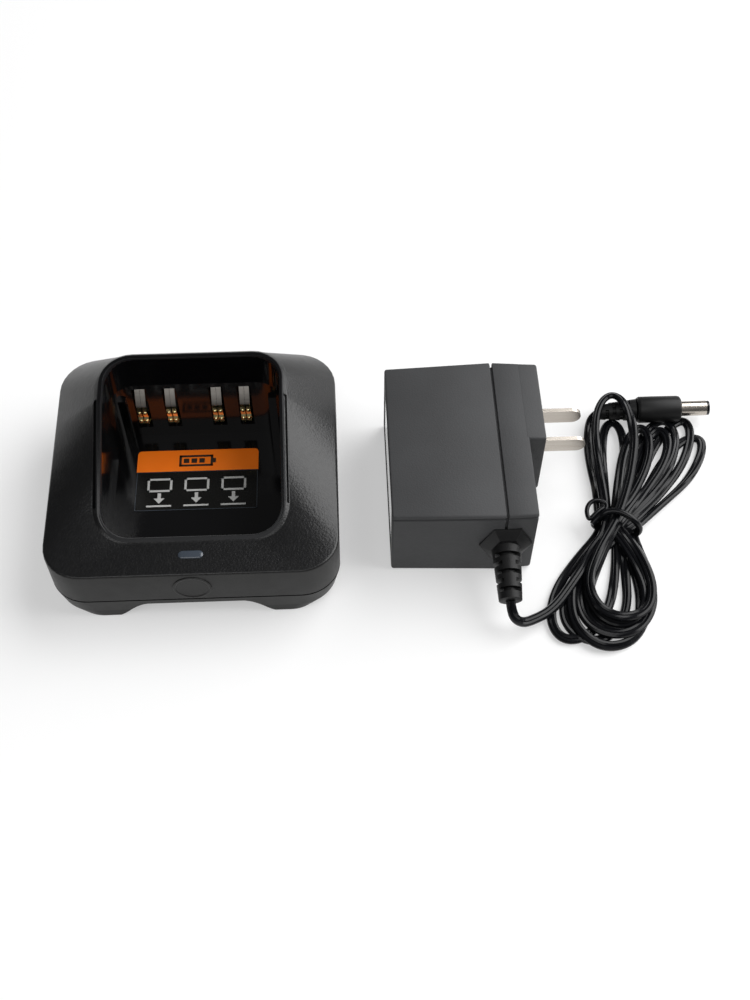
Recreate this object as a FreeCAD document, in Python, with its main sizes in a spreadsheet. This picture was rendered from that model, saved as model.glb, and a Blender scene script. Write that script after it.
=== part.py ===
import FreeCAD, Part
import math
import os
import re

import Sketcher
from FreeCAD import Placement, Rotation, Vector

# Desktop charger set: a single-unit charging cradle and its plug-in power supply with a tied cord.
# Millimetres, +Z up. The set stands on Z = 0, with the middle of its footprint at the origin.
# The cradle is on the left (-X), the power supply on the right (+X), both fronts face -Y.

DIMENSIONS = {
    # cradle, outside
    "cradle_x": -43.95, "cradle_width": 97.0, "cradle_depth": 88.4, "cradle_corner": 13.0,
    "cover_wall": 2.2, "parting_height": 10.6, "front_edge_height": 26.2, "rear_edge_height": 30.0,
    "collar_width": 65.0, "collar_front": -31.5, "collar_rear": 32.4, "collar_corner": 12.0,
    "collar_front_height": 26.4, "collar_slope_end": 12.5, "collar_slope_height": 45.6,
    "collar_rear_height": 47.4, "collar_drop": 1.4, "collar_drop_run": 12.0,
    "groove_width": 1.3, "groove_depth": 0.8, "groove_front": -20.5, "groove_rear": 14.0,
    # cradle, pocket
    "pocket_width": 59.8, "pocket_front": -29.9, "pocket_rear": 30.2, "pocket_corner": 9.5,
    "liner_wall": 1.0, "liner_gap": 0.12, "pocket_floor": 6.0, "floor_thickness": 1.6,
    "rear_wall_y": 28.2, "rear_wall": 1.5, "lead_in_height": 34.7,
    "post_width": 5.4, "post_depth": 3.4, "post_top": 30.0, "rail_width": 1.6, "rail_height": 9.0,
    "slot_width": 5.0, "slot_low": 11.0, "slot_high": 32.6,
    # cradle, base
    "arch_height": 8.2, "arch_top_half": 16.0, "arch_foot_half": 28.5, "arch_depth": 9.0,
    "base_clearance": 0.5, "base_floor": 2.5, "base_inset": 1.2, "base_skirt": 4.0,
    "foot_radius": 4.0, "foot_height": 1.4, "foot_x": 38.0, "foot_front_y": -36.0, "foot_rear_y": 35.0,
    "screw_x": 39.6, "screw_front_y": -24.0, "screw_rear_y": 22.0, "screw_radius": 1.4,
    "screw_head_radius": 2.6, "screw_head_height": 1.8, "boss_radius": 3.0,
    # cradle, small parts
    "lens_length": 8.3, "lens_width": 3.0, "lens_y": -36.5, "lens_low": 15.0, "lens_rise": 0.15,
    "badge_radius": 6.4, "badge_depth": 0.7, "badge_z": 18.2, "badge_stand": 0.35,
    "label_length": 43.6, "label_width": 26.2, "label_thickness": 0.2, "label_x": -1.9, "label_y": 7.6,
    "contact_width": 3.9, "contact_strip": 0.4, "contact_back_y": 30.9, "contact_nose": 4.6,
    "contact_slit": 0.6,
    "carrier_front": 29.9, "carrier_back": 33.6, "carrier_low": 9.0, "carrier_high": 32.8,
    "carrier_length": 46.0, "carrier_x": -2.0, "channel_width": 4.7, "channel_back": 32.7,
    # cradle, electronics
    "board_thickness": 1.6, "board_z": 5.8, "board_length": 75.0, "board_front": 33.9, "board_rear": 40.3,
    "jack_width": 9.0, "jack_height": 11.0, "jack_front": 34.4, "jack_rear": 44.2, "jack_x": 0.0,
    "jack_z": 13.2, "jack_bore": 3.1, "jack_bore_depth": 9.2, "pin_radius": 1.0,
    "led_board_z": 11.4, "led_board_length": 22.0, "led_board_width": 7.0,
    # power supply
    "adapter_left": 22.05, "adapter_seam": 59.8, "adapter_recess": 70.3, "adapter_face": 76.2,
    "adapter_y": 2.65, "adapter_half_end": 31.55, "adapter_half_seam": 32.85,
    "adapter_height_end": 32.3, "adapter_height_seam": 33.2, "adapter_wall": 2.0, "adapter_edge": 1.0,
    "seam_gap": 0.8, "cap_half_recess": 32.3, "cap_height_recess": 32.4, "cap_play": 0.15,
    "boss_low_y": 1.6, "boss_high_y": 32.6, "boss_low_z": 2.4, "boss_high_z": 31.0,
    "end_panel_width": 53.0, "end_panel_height": 27.0, "end_panel_depth": 0.5,
    # line blades, to the standard for a two-pole ungrounded plug
    "blade_pitch": 12.7, "blade_width": 6.35, "blade_thickness": 1.52, "blade_reach": 16.25,
    "blade_y": 17.05, "blade_z": 16.8, "blade_root": 64.0,
    # cord set
    "cord_width": 3.3, "cord_clearance": 0.1,
    "boot_x": 60.4, "boot_z": 16.6, "boot_tilt": 11.0, "boot_length": 19.0, "boot_root": 4.8,
    "boot_tip": 3.5, "boot_rib": 0.9, "boot_ribs": 5, "boot_sink": 1.2,
    "plinth_size": 18.0, "plinth_stand": 2.6, "notch_radius": 3.6,
    "plug_z": 6.2, "plug_y": 33.1, "plug_left": 115.8, "plug_right": 132.2, "plug_radius": 4.9,
    "barrel_radius": 2.75, "barrel_length": 9.6, "barrel_bore": 1.05, "tip_length": 1.0,
    "plug_relief_length": 13.6, "plug_relief_root": 3.8, "plug_relief_tip": 2.6, "plug_relief_rib": 0.8,
    "plug_relief_ribs": 4,
    "hank_height": 8.0, "tie_width": 16.4, "tie_thickness": 3.2, "tie_height": 10.4, "tie_corner": 1.2,
    "tie_x": 102.2, "tie_y": -15.6, "tie_turn": -12.0,
}

doc = FreeCAD.newDocument("charger_set")
sheet = doc.addObject("Spreadsheet::Sheet", "Dimensions")
for row, (alias, number) in enumerate(DIMENSIONS.items(), start=1):
    sheet.set(f"A{row}", alias)
    sheet.set(f"B{row}", str(number))
    sheet.setAlias(f"B{row}", alias)
doc.recompute()

nodes = []


def size(alias):
    """A driving dimension, read back from the sheet."""
    return float(sheet.get(alias))


def formula(text):
    """The same text with each driving dimension written as a reference to its cell."""
    return re.sub(r"\b([a-z]+(?:_[a-z0-9]+)+)\b", r"Dimensions.\1", str(text))


def keep(piece, label):
    """Mark a document object as one of the model's nodes."""
    piece.Label = label
    nodes.append(piece)
    return piece


def place(piece, x, y, z):
    for axis, text in zip("xyz", (x, y, z)):
        piece.setExpression("Placement.Base." + axis, formula(text))
    return piece


def block(name, x, y, z, length, width, height):
    """Box centred on x and y, standing on z."""
    piece = doc.addObject("Part::Box", name)
    piece.setExpression("Length", formula(length))
    piece.setExpression("Width", formula(width))
    piece.setExpression("Height", formula(height))
    return place(piece, f"({x}) - ({length}) / 2", f"({y}) - ({width}) / 2", z)


def rod(name, x, y, z, radius, height, axis=(0, 0, 1)):
    """Cylinder that starts at a point and runs along an axis."""
    piece = doc.addObject("Part::Cylinder", name)
    piece.Placement = Placement(Vector(), Rotation(Vector(0, 0, 1), Vector(*axis)))
    piece.setExpression("Radius", formula(radius))
    piece.setExpression("Height", formula(height))
    return place(piece, x, y, z)


def cut(name, base, tool):
    piece = doc.addObject("Part::Cut", name)
    piece.Base = base
    piece.Tool = tool
    return piece


def fuse(name, pieces):
    piece = doc.addObject("Part::MultiFuse", name)
    piece.Shapes = pieces
    return piece


def group(name, pieces):
    """Separate solids kept as one object."""
    piece = doc.addObject("Part::Compound", name)
    piece.Links = pieces
    return piece


def feature(name, shape):
    piece = doc.addObject("Part::Feature", name)
    piece.Shape = shape
    return piece


def origin_plane(body, role):
    return next(item for item in body.Origin.OriginFeatures if item.Role == role)


def add_profile(body, name, role, points):
    """Closed sketch of straight lines through the points, on one of the body's origin planes."""
    sketch = body.newObject("Sketcher::SketchObject", name)
    sketch.AttachmentSupport = [(origin_plane(body, role), "")]
    sketch.MapMode = "FlatFace"
    count = len(points)
    for index in range(count):
        start = Vector(*points[index], 0)
        end = Vector(*points[(index + 1) % count], 0)
        sketch.addGeometry(Part.LineSegment(start, end), False)
    for index in range(count):
        sketch.addConstraint(Sketcher.Constraint("Coincident", index, 2, (index + 1) % count, 1))
    return sketch


def plate(name, x, y, z, length, width, height, corner=None):
    """Padded rectangle centred on x and y, its upright edges rounded."""
    body = doc.addObject("PartDesign::Body", name)
    sketch = add_profile(body, name + "_outline", "XY_Plane", [(-5, -5), (5, -5), (5, 5), (-5, 5)])
    for line in (0, 2):
        sketch.addConstraint(Sketcher.Constraint("Horizontal", line))
    for line in (1, 3):
        sketch.addConstraint(Sketcher.Constraint("Vertical", line))
    sketch.addConstraint(Sketcher.Constraint("Symmetric", 0, 1, 2, 1, -1, 1))
    for label, line, text in (("length", 0, length), ("width", 1, width)):
        index = sketch.addConstraint(Sketcher.Constraint("Distance", line, 10.0))
        sketch.renameConstraint(index, label)
        sketch.setExpression("Constraints." + label, formula(text))
    pad = body.newObject("PartDesign::Pad", name + "_pad")
    pad.Profile = sketch
    pad.setExpression("Length", formula(height))
    if corner is not None:
        doc.recompute()
        upright = []
        for index, edge in enumerate(pad.Shape.Edges, start=1):
            direction = edge.tangentAt(edge.FirstParameter)
            if abs(direction.z) > 0.99:
                upright.append(f"Edge{index}")
        rounding = body.newObject("PartDesign::Fillet", name + "_rounding")
        rounding.Base = (pad, upright)
        rounding.setExpression("Radius", formula(corner))
        body.Tip = rounding
    return place(body, x, y, z)


# ---------------------------------------------------------------- outlines of the cradle

CRADLE = Vector(size("cradle_x"), 0, 0)


def ring_points(half, front, rear, corner, height):
    """Points of a rounded rectangle, each lifted to height(y): ends and middles of its ten stretches."""
    slope_end = size("collar_slope_end")
    bend = corner * (1 - math.sqrt(0.5))
    right = [
        (half - corner, front), (half - bend, front + bend), (half, front + corner),
        (half, slope_end), (half, rear - corner), (half - bend, rear - bend), (half - corner, rear),
    ]
    left = [(-x, y) for x, y in reversed(right)]
    return [CRADLE + Vector(x, y, height(y)) for x, y in right + left]


def ring_edges(points):
    """Edges through ring points: a straight front, then arc, two sides, arc, rear, arc, two sides, arc."""
    p = points
    return [
        Part.LineSegment(p[13], p[0]).toShape(),
        Part.Arc(p[0], p[1], p[2]).toShape(),
        Part.LineSegment(p[2], p[3]).toShape(),
        Part.LineSegment(p[3], p[4]).toShape(),
        Part.Arc(p[4], p[5], p[6]).toShape(),
        Part.LineSegment(p[6], p[7]).toShape(),
        Part.Arc(p[7], p[8], p[9]).toShape(),
        Part.LineSegment(p[9], p[10]).toShape(),
        Part.LineSegment(p[10], p[11]).toShape(),
        Part.Arc(p[11], p[12], p[13]).toShape(),
    ]


def stack_solid(rings, closed_ends):
    """Solid bounded by ruled faces between successive rings, and flat faces on the first and last."""
    faces = []
    for lower, upper in zip(rings, rings[1:]):
        for one, other in zip(ring_edges(lower), ring_edges(upper)):
            faces.append(Part.makeRuledSurface(one, other))
    if closed_ends:
        faces.append(Part.Face(Part.Wire(ring_edges(rings[0]))))
        faces.append(Part.Face(Part.Wire(ring_edges(rings[-1]))))
    else:
        outline = Part.Face(Part.Wire(ring_edges(rings[0])))
        hole = Part.Face(Part.Wire(ring_edges(rings[-1])))
        faces.append(outline.cut(hole).Faces[0])
    shell = Part.Shell(faces)
    shell.sewShape()
    solid = Part.Solid(shell)
    if solid.Volume < 0:
        solid.reverse()
    return solid


def flat(height):
    return lambda y: height


def edge_height(y):
    """Height of the outer top edge, rising gently from front to rear."""
    share = (y / size("cradle_depth")) + 0.5
    return size("front_edge_height") + share * (size("rear_edge_height") - size("front_edge_height"))


def collar_height(y):
    """Height of the collar: it climbs steadily over the pocket's front part, then levels off."""
    front, bend, rear = size("collar_front"), size("collar_slope_end"), size("collar_rear")
    low, high, top = size("collar_front_height"), size("collar_slope_height"), size("collar_rear_height")
    if y <= bend:
        return low + (high - low) * max(0.0, (y - front) / (bend - front))
    return high + (top - high) * min(1.0, (y - bend) / (rear - bend))


def collar_drop(y):
    """How far the collar's outer line lies below its inner one: nothing in front, then a fixed step."""
    share = (y - size("collar_front")) / size("collar_drop_run")
    return size("collar_drop") * min(1.0, max(0.1, share))


def cover_ring(inset, drop, hole_growth, low):
    """Ring-shaped solid of the top cover, or of the space inside it."""
    half = size("cradle_width") / 2 - inset
    reach = size("cradle_depth") / 2 - inset
    corner = size("cradle_corner") - inset
    hole_half = size("pocket_width") / 2 + size("liner_wall") + hole_growth
    hole_front = size("pocket_front") - size("liner_wall") - hole_growth
    hole_rear = size("pocket_rear") + size("liner_wall") + hole_growth
    hole_corner = size("pocket_corner") + size("liner_wall") + hole_growth
    collar_growth = hole_growth * 0.9
    collar_half = size("collar_width") / 2 + collar_growth
    rings = [
        ring_points(half, -reach, reach, corner, flat(low)),
        ring_points(half, -reach, reach, corner, lambda y: edge_height(y) - drop),
        ring_points(collar_half, size("collar_front") - collar_growth, size("collar_rear") + collar_growth,
                    size("collar_corner") + collar_growth,
                    lambda y: collar_height(y) - collar_drop(y) - drop),
        ring_points(hole_half, hole_front, hole_rear, hole_corner, lambda y: collar_height(y) - drop),
        ring_points(hole_half, hole_front, hole_rear, hole_corner, flat(low)),
    ]
    return stack_solid(rings, closed_ends=False)


def build_top_cover():
    wall = size("cover_wall")
    low = size("parting_height")
    outside = feature("cover_outside", cover_ring(0.0, 0.0, 0.0, low))
    inside = feature("cover_inside", cover_ring(wall, wall * 1.15, wall * 0.7, low - 1.0))
    shell = cut("cover_shell", outside, inside)
    window = plate("light_window", "cradle_x", "lens_y", "lens_low", "lens_length + 0.1", "lens_width + 0.1",
                   "30", "(lens_width + 0.1) / 2 - 0.02")
    opening = block("jack_opening", "cradle_x + jack_x", "jack_rear", "jack_z - jack_height / 2 - 0.15",
                    "jack_width + 0.3", "8", "jack_height + 0.3")
    contact_window = block("contact_window", "cradle_x + carrier_x", "rear_wall_y + 3.4", "carrier_low - 0.2",
                           "carrier_length + 0.6", "5.2", "carrier_high - carrier_low + 0.4")
    badge_seat = rod("badge_seat", "cradle_x", "-cradle_depth / 2 - 1", "badge_z", "badge_radius + 0.05",
                     "1 + badge_depth", (0, 1, 0))
    grooves = []
    for side, sign in (("left", -1), ("right", 1)):
        grooves.append(feature(side + "_groove", groove_shape(sign)))
    towers = []
    pilots = []
    for index, (x, y) in enumerate(SCREW_PLACES, start=1):
        towers.append(rod(f"cover_tower_{index}", x, y, "base_floor + 2.3", "boss_radius", "38"))
        pilots.append(rod(f"cover_pilot_{index}", x, y, "base_floor", "screw_radius + 0.05", "12"))
    below = rod("below_cover", "cradle_x", "0", "0", "80", "parting_height + 1")
    reach = fuse("cover_reach", [outside, below])
    clipped = doc.addObject("Part::Common", "towers_clipped")
    clipped.Base = fuse("cover_towers", towers)
    clipped.Tool = reach
    holes = fuse("cover_holes", [window, opening, contact_window, badge_seat] + grooves + pilots)
    return keep(cut("top_cover_cut", fuse("cover_with_towers", [shell, clipped]), holes), "top_cover")


def groove_shape(sign):
    """Shallow channel along one side of the collar, following its slope."""
    inner = size("pocket_width") / 2 + size("liner_wall") + 0.25
    outer = inner + size("groove_width")
    front, rear, depth = size("groove_front"), size("groove_rear"), size("groove_depth")
    floor = size("collar_drop") * 0.5 + depth
    corners = []
    for y in (front, size("collar_slope_end"), rear):
        corners.append((y, collar_height(y) - floor))
    for y in (rear, size("collar_slope_end"), front):
        corners.append((y, collar_height(y) + 3.0))
    points = [CRADLE + Vector(sign * inner, y, z) for y, z in corners]
    face = Part.Face(Part.makePolygon(points + points[:1]))
    return face.extrude(Vector(sign * (outer - inner), 0, 0))


def liner_rings(growth, floor_z, wall_rear):
    """Rings of the well's inner or outer surface: upright walls, and a rear wall that flares at the mouth."""
    half = size("pocket_width") / 2 + growth
    front = size("pocket_front") - growth
    corner = size("pocket_corner") + growth

    def lead_height(y):
        return min(size("lead_in_height"), collar_height(y) - 0.5)
    return [
        ring_points(half, front, wall_rear, corner, flat(floor_z)),
        ring_points(half, front, wall_rear, corner, lead_height),
        ring_points(half, front, size("pocket_rear") + growth, corner, collar_height),
    ]


def build_pocket_insert():
    wall = size("liner_wall") - size("liner_gap")
    base = size("pocket_floor") - size("floor_thickness")
    rear = size("rear_wall_y")
    outer = liner_rings(wall, base, rear + size("rear_wall"))
    inner = liner_rings(0.0, size("pocket_floor"), rear)
    well = feature("pocket_well", stack_solid(outer + inner[::-1], closed_ends=True))
    guides = []
    for side in (-1, 1):
        x = f"cradle_x + {side} * (pocket_width / 2 - post_width / 2 + 0.4)"
        guides.append(block(f"post_{side + 2}", x, "rear_wall_y - post_depth / 2 + 0.3", "pocket_floor - 0.4",
                            "post_width", "post_depth + 0.6", "post_top - pocket_floor + 0.4"))
        x = f"cradle_x + {side} * (pocket_width / 2 - rail_width / 2 + 0.3)"
        guides.append(block(f"rail_{side + 2}", x, "-6", "pocket_floor - 0.4",
                            "rail_width", "34", "rail_height + 0.4"))
    half, front = size("pocket_width") / 2 + wall, size("pocket_front") - wall
    corner = size("pocket_corner") + wall
    room = stack_solid([
        ring_points(half, front, rear + size("rear_wall"), corner, flat(base)),
        ring_points(half, front, rear + size("rear_wall"), corner, flat(size("post_top") + 1)),
    ], closed_ends=True)
    clipped = doc.addObject("Part::Common", "guides_clipped")
    clipped.Base = fuse("guides", guides)
    clipped.Tool = feature("pocket_room", room)
    body = fuse("pocket_body", [well, clipped])
    slots = []
    for index, offset in enumerate(CONTACT_OFFSETS, start=1):
        slots.append(block(f"contact_slot_{index}", f"cradle_x + {offset}", "rear_wall_y + 1.2", "slot_low",
                           "slot_width", "5", "slot_high - slot_low"))
    return keep(cut("pocket_insert_cut", body, fuse("contact_slots", slots)), "pocket_insert")


# ---------------------------------------------------------------- cradle parts

CONTACT_OFFSETS = (-20.4, -9.9, 6.4, 16.3)


def build_bottom_cover():
    wall = size("cover_wall")
    low, top = size("base_clearance"), size("parting_height")
    half, reach = size("cradle_width") / 2, size("cradle_depth") / 2
    corner = size("cradle_corner")
    inset = size("base_inset")
    skirt = size("base_skirt")
    outer = stack_solid([
        ring_points(half - inset - skirt, -reach + inset + skirt * 0.4, reach - inset - skirt * 0.4,
                    corner - inset, flat(low)),
        ring_points(half - inset, -reach + inset * 0.5, reach - inset * 0.5, corner, flat(skirt)),
        ring_points(half, -reach, reach, corner, flat(top)),
    ], closed_ends=True)
    inner = stack_solid([
        ring_points(half - inset - wall - skirt * 0.6, -reach + wall + skirt * 0.4,
                    reach - wall - skirt * 0.4, corner - wall, flat(size("base_floor"))),
        ring_points(half - inset - wall, -reach + inset + wall, reach - inset - wall, corner - wall,
                    flat(skirt + 1)),
        ring_points(half - wall, -reach + wall, reach - wall, corner - wall, flat(top + 1)),
    ], closed_ends=True)
    tray = cut("base_tray", feature("base_outside", outer), feature("base_inside", inner))
    hood = feature("arch_hood", arch_shape(wall, 0.0))
    arch = feature("arch_space", arch_shape(0.0, 1.0))
    clipped = doc.addObject("Part::Common", "arch_hood_clipped")
    clipped.Base = hood
    clipped.Tool = feature("base_limits", outer)
    opened = cut("base_arched", fuse("base_with_hood", [tray, clipped]), arch)
    bosses = []
    holes = []
    for index, (x, y) in enumerate(SCREW_PLACES, start=1):
        bosses.append(rod(f"boss_{index}", x, y, "base_clearance", "boss_radius + 1", "base_floor + 1.6"))
        holes.append(rod(f"screw_hole_{index}", x, y, "-1", "screw_radius + 0.1", "parting_height"))
        holes.append(rod(f"screw_sink_{index}", x, y, "-1", "screw_head_radius + 0.2",
                         "1 + base_clearance + screw_head_height + 0.3"))
    for index, (x, y) in enumerate(FOOT_PLACES, start=1):
        holes.append(rod(f"foot_seat_{index}", x, y, "-1", "foot_radius + 0.1", "1 + foot_height"))
    holes.append(block("jack_notch", "cradle_x + jack_x", "jack_rear", "jack_z - jack_height / 2 - 0.15",
                       "jack_width + 0.3", "8", "jack_height"))
    for side in (-1, 1):
        bosses.append(rod(f"led_board_post_{side + 2}", f"cradle_x + {side} * 8", "lens_y + 1",
                          "arch_height + 1", "1.2", "led_board_z - arch_height - 1"))
    whole = fuse("base_with_bosses", [opened] + bosses)
    return keep(cut("bottom_cover_cut", whole, fuse("base_holes", holes)), "bottom_cover")


def arch_shape(thickness, overrun):
    """Arch under the front edge, or with a thickness the hood that roofs it."""
    top = size("arch_height") + thickness
    foot, crown = size("arch_foot_half") + thickness, size("arch_top_half") + thickness * 0.4
    front = -size("cradle_depth") / 2 - overrun
    low = size("base_clearance") - overrun
    left = Vector(-foot, front, low)
    right = Vector(foot, front, low)
    crown_left = Vector(-crown, front, top)
    crown_right = Vector(crown, front, top)
    edges = [
        Part.LineSegment(left, right).toShape(),
        slope_edge(right, crown_right),
        Part.LineSegment(crown_right, crown_left).toShape(),
        slope_edge(crown_left, left),
    ]
    face = Part.Face(Part.Wire(edges))
    arch = face.extrude(Vector(0, size("arch_depth") + overrun + thickness, 0))
    arch.translate(CRADLE)
    return arch


def slope_edge(start, end):
    """S-shaped edge, level at its upper end and leaning at its foot."""
    span = end - start
    first = start + Vector(span.x * 0.35, 0, span.z * 0.28)
    second = start + Vector(span.x * 0.65, 0, span.z * 0.72)
    curve = Part.BSplineCurve()
    curve.interpolate([start, first, second, end])
    return curve.toShape()


SCREW_PLACES = [(f"cradle_x + {side} * screw_x", y) for side in (-1, 1)
                for y in ("screw_front_y", "screw_rear_y")]
FOOT_PLACES = [(f"cradle_x + {side} * foot_x", y) for side in (-1, 1)
               for y in ("foot_front_y", "foot_rear_y")]


def build_case_hardware():
    feet = [rod(f"foot_{n}", x, y, "0", "foot_radius", "foot_height - 0.1")
            for n, (x, y) in enumerate(FOOT_PLACES, start=1)]
    keep(group("rubber_feet", feet), "rubber_feet")
    screws = []
    for number, (x, y) in enumerate(SCREW_PLACES, start=1):
        head = rod(f"case_screw_head_{number}", x, y, "base_clearance + 0.3", "screw_head_radius",
                   "screw_head_height")
        shank = rod(f"case_screw_shank_{number}", x, y, "base_clearance + 0.3", "screw_radius", "9.5")
        socket = block(f"case_screw_cross_{number}", x, y, "base_clearance", "0.7", "3", "1.3")
        screws.append(cut(f"case_screw_{number}", fuse(f"case_screw_blank_{number}", [head, shank]), socket))
    keep(group("case_screws", screws), "case_screws")
    rating = plate("rating_plate", "cradle_x", "2", "base_clearance - 0.15", "40", "26", "0.15", "2")
    keep(rating, "rating_plate")


def build_indicator():
    lens_base = plate("indicator_lens", "cradle_x", "lens_y", "lens_low", "lens_length", "lens_width",
                      "front_edge_height + lens_rise - lens_low", "lens_width / 2 - 0.02")
    keep(lens_base, "indicator_lens")
    board = plate("led_board", "cradle_x", "lens_y", "led_board_z", "led_board_length", "led_board_width",
                  "board_thickness / 2", "0.6")
    keep(board, "led_board")
    lamp = block("indicator_led", "cradle_x", "lens_y", "led_board_z + board_thickness / 2",
                 "3.2", "2.0", "1.1")
    keep(lamp, "indicator_led")
    wires = [feature(f"wire_{number + 1}", wire_shape(number)) for number in range(3)]
    keep(group("indicator_wires", wires), "indicator_wires")


def wire_shape(number):
    """One insulated wire from the indicator board, round the pocket's left side, to the main board."""
    radius = 0.45
    step = number * (2 * radius + 0.15)
    height = size("led_board_z") + size("board_thickness") / 2 + radius
    start_x = size("cradle_x") - size("led_board_length") / 2 + 3.0
    side_x = size("cradle_x") - size("pocket_width") / 2 - 4.0 - step
    front_y = size("lens_y") + 1.0 - step
    rear_y = size("board_front") + 2.6
    level = size("board_z") + size("board_thickness") + radius
    points = [
        Vector(start_x, front_y, height), Vector(side_x, front_y, height), Vector(side_x, 0, height),
        Vector(side_x, rear_y - 8, height), Vector(side_x, rear_y, level),
    ]
    return tube(points, radius, bend=3.0)


def tube(points, radius, bend):
    """Round tube along straight runs joined by tangent arcs of one radius."""
    edges = []
    last = points[0]
    for before, corner, after in zip(points, points[1:], points[2:]):
        inward = (before - corner).normalize()
        outward = (after - corner).normalize()
        turn = math.pi - inward.getAngle(outward)
        if turn < 0.02:
            continue
        reach = bend * math.tan(turn / 2)
        enter = corner + inward * reach
        leave = corner + outward * reach
        bisector = (inward + outward).normalize()
        middle = corner + bisector * (bend / math.cos(turn / 2) - bend)
        edges.append(Part.LineSegment(last, enter).toShape())
        edges.append(Part.Arc(enter, middle, leave).toShape())
        last = leave
    edges.append(Part.LineSegment(last, points[-1]).toShape())
    path = Part.Wire(edges)
    ring = Part.Wire(Part.makeCircle(radius, points[0], points[1] - points[0]))
    return path.makePipeShell([ring], True, True)


def build_front_badge():
    badge = rod("badge_disc", "cradle_x", "-cradle_depth / 2 - badge_stand", "badge_z", "badge_radius",
                "badge_depth + badge_stand", (0, 1, 0))
    keep(badge, "front_badge")


def build_pocket_label():
    label = plate("pocket_label", "cradle_x + label_x", "label_y", "pocket_floor", "label_length",
                  "label_width", "label_thickness", "1.5")
    keep(label, "pocket_label")


def build_contacts():
    """Four sprung contacts, each a bent strip that stands through its slot into the pocket."""
    back = size("contact_back_y")
    strip = size("contact_strip")
    nose = back - size("contact_nose")
    outline = [
        (back, 31.4), (nose + 0.5, 24.4), (nose, 22.6), (nose, 16.8), (nose + 0.7, 14.4), (back, 12.4),
        (back, 8.2),
    ]
    inner = [(y + strip, z) for y, z in reversed(outline)]
    for number, offset in enumerate(CONTACT_OFFSETS, start=1):
        name = f"battery_contact_{number}"
        body = doc.addObject("PartDesign::Body", f"contact_strip_{number}")
        sketch = add_profile(body, f"contact_side_{number}", "YZ_Plane", outline + inner)
        pad = body.newObject("PartDesign::Pad", f"contact_pad_{number}")
        pad.Profile = sketch
        pad.Midplane = True
        pad.setExpression("Length", formula("contact_width"))
        body.Tip = pad
        place(body, f"cradle_x + {offset}", "0", "0")
        slit = block(f"contact_slit_{number}", f"cradle_x + {offset}", "contact_back_y - 1.6", "13.2",
                     "contact_slit", "6", "9.8")
        keep(cut(name + "_split", body, slit), name)


def build_contact_carrier():
    depth = "carrier_back - carrier_front"
    base = block("carrier_block", "cradle_x + carrier_x", "(carrier_front + carrier_back) / 2", "carrier_low",
                 "carrier_length", depth, "carrier_high - carrier_low")
    channels = []
    for number, offset in enumerate(CONTACT_OFFSETS, start=1):
        channels.append(block(f"channel_{number}", f"cradle_x + {offset}", "channel_back - 3",
                              "carrier_low - 1", "channel_width", "6", "carrier_high - carrier_low + 2"))
    channels.append(block("carrier_jack_gap", "cradle_x + jack_x", "carrier_back + 1.5", "carrier_low - 1",
                          "jack_width + 0.6", "4", "12"))
    keep(cut("contact_carrier", base, fuse("carrier_channels", channels)), "contact_carrier")


def build_electronics():
    middle = "(board_front + board_rear) / 2"
    top = "board_z + board_thickness"
    board = plate("main_board_blank", "cradle_x", middle, "board_z", "board_length",
                  "board_rear - board_front", "board_thickness", "0.8")
    holes = [rod(f"board_hole_{n}", x, middle, "board_z - 1", "1.3", "board_thickness + 2")
             for n, x in enumerate(BOARD_SCREWS, start=1)]
    keep(cut("main_board_drilled", board, fuse("board_holes", holes)), "main_board")
    screws = []
    for number, x in enumerate(BOARD_SCREWS, start=1):
        head = rod(f"board_screw_head_{number}", x, middle, top, "2.2", "1.4")
        shank = rod(f"board_screw_shank_{number}", x, middle, "base_floor + 0.1", "1.2",
                    f"{top} - base_floor + 0.4")
        screws.append(fuse(f"board_screw_{number}", [head, shank]))
    keep(group("board_screws", screws), "board_screws")
    keep(block("controller_chip", "cradle_x + 20", middle, top, "7", "5", "1.4"), "controller_chip")
    coil_core = rod("coil_core", "cradle_x - 17", middle, top, "3.2", "4.5")
    coil_rim = rod("coil_rim", "cradle_x - 17", middle, f"{top} + 4.5", "3.4", "0.8")
    keep(fuse("power_inductor", [coil_core, coil_rim]), "power_inductor")
    cans = [rod(f"can_{n}", f"cradle_x + {x}", middle, top, "2.9", "7.5")
            for n, x in enumerate((-23.5, 11), 1)]
    keep(group("filter_capacitors", cans), "filter_capacitors")
    diodes = [block(f"diode_{n}", f"cradle_x + {x}", middle, top, "2.6", "4.4", "2.2")
              for n, x in enumerate((-10, 26.2), 1)]
    keep(group("power_diodes", diodes), "power_diodes")


BOARD_SCREWS = ("cradle_x - 31", "cradle_x + 31")


def build_jack():
    x = "cradle_x + jack_x"
    shell = block("jack_shell", x, "(jack_front + jack_rear) / 2", "jack_z - jack_height / 2 + 0.4",
                  "jack_width", "jack_rear - jack_front", "jack_height - 0.4")
    bore = rod("jack_bore", x, "jack_rear - jack_bore_depth", "jack_z", "jack_bore", "jack_bore_depth + 1",
               (0, 1, 0))
    pocket = block("leaf_pocket", x, "jack_rear - 4.5", "jack_z - jack_bore - 0.9", "2.4", "6", "1.6")
    keep(cut("dc_jack_housing", shell, fuse("jack_voids", [bore, pocket])), "dc_jack_housing")
    pin = rod("jack_pin", x, "jack_rear - jack_bore_depth", "jack_z", "pin_radius", "jack_bore_depth - 1",
              (0, 1, 0))
    keep(pin, "jack_centre_pin")
    leaf = block("jack_side_spring", x, "jack_rear - 4.5", "jack_z - jack_bore - 0.7", "1.8", "5.4", "0.5")
    keep(leaf, "jack_side_spring")


# ---------------------------------------------------------------- power supply

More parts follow.
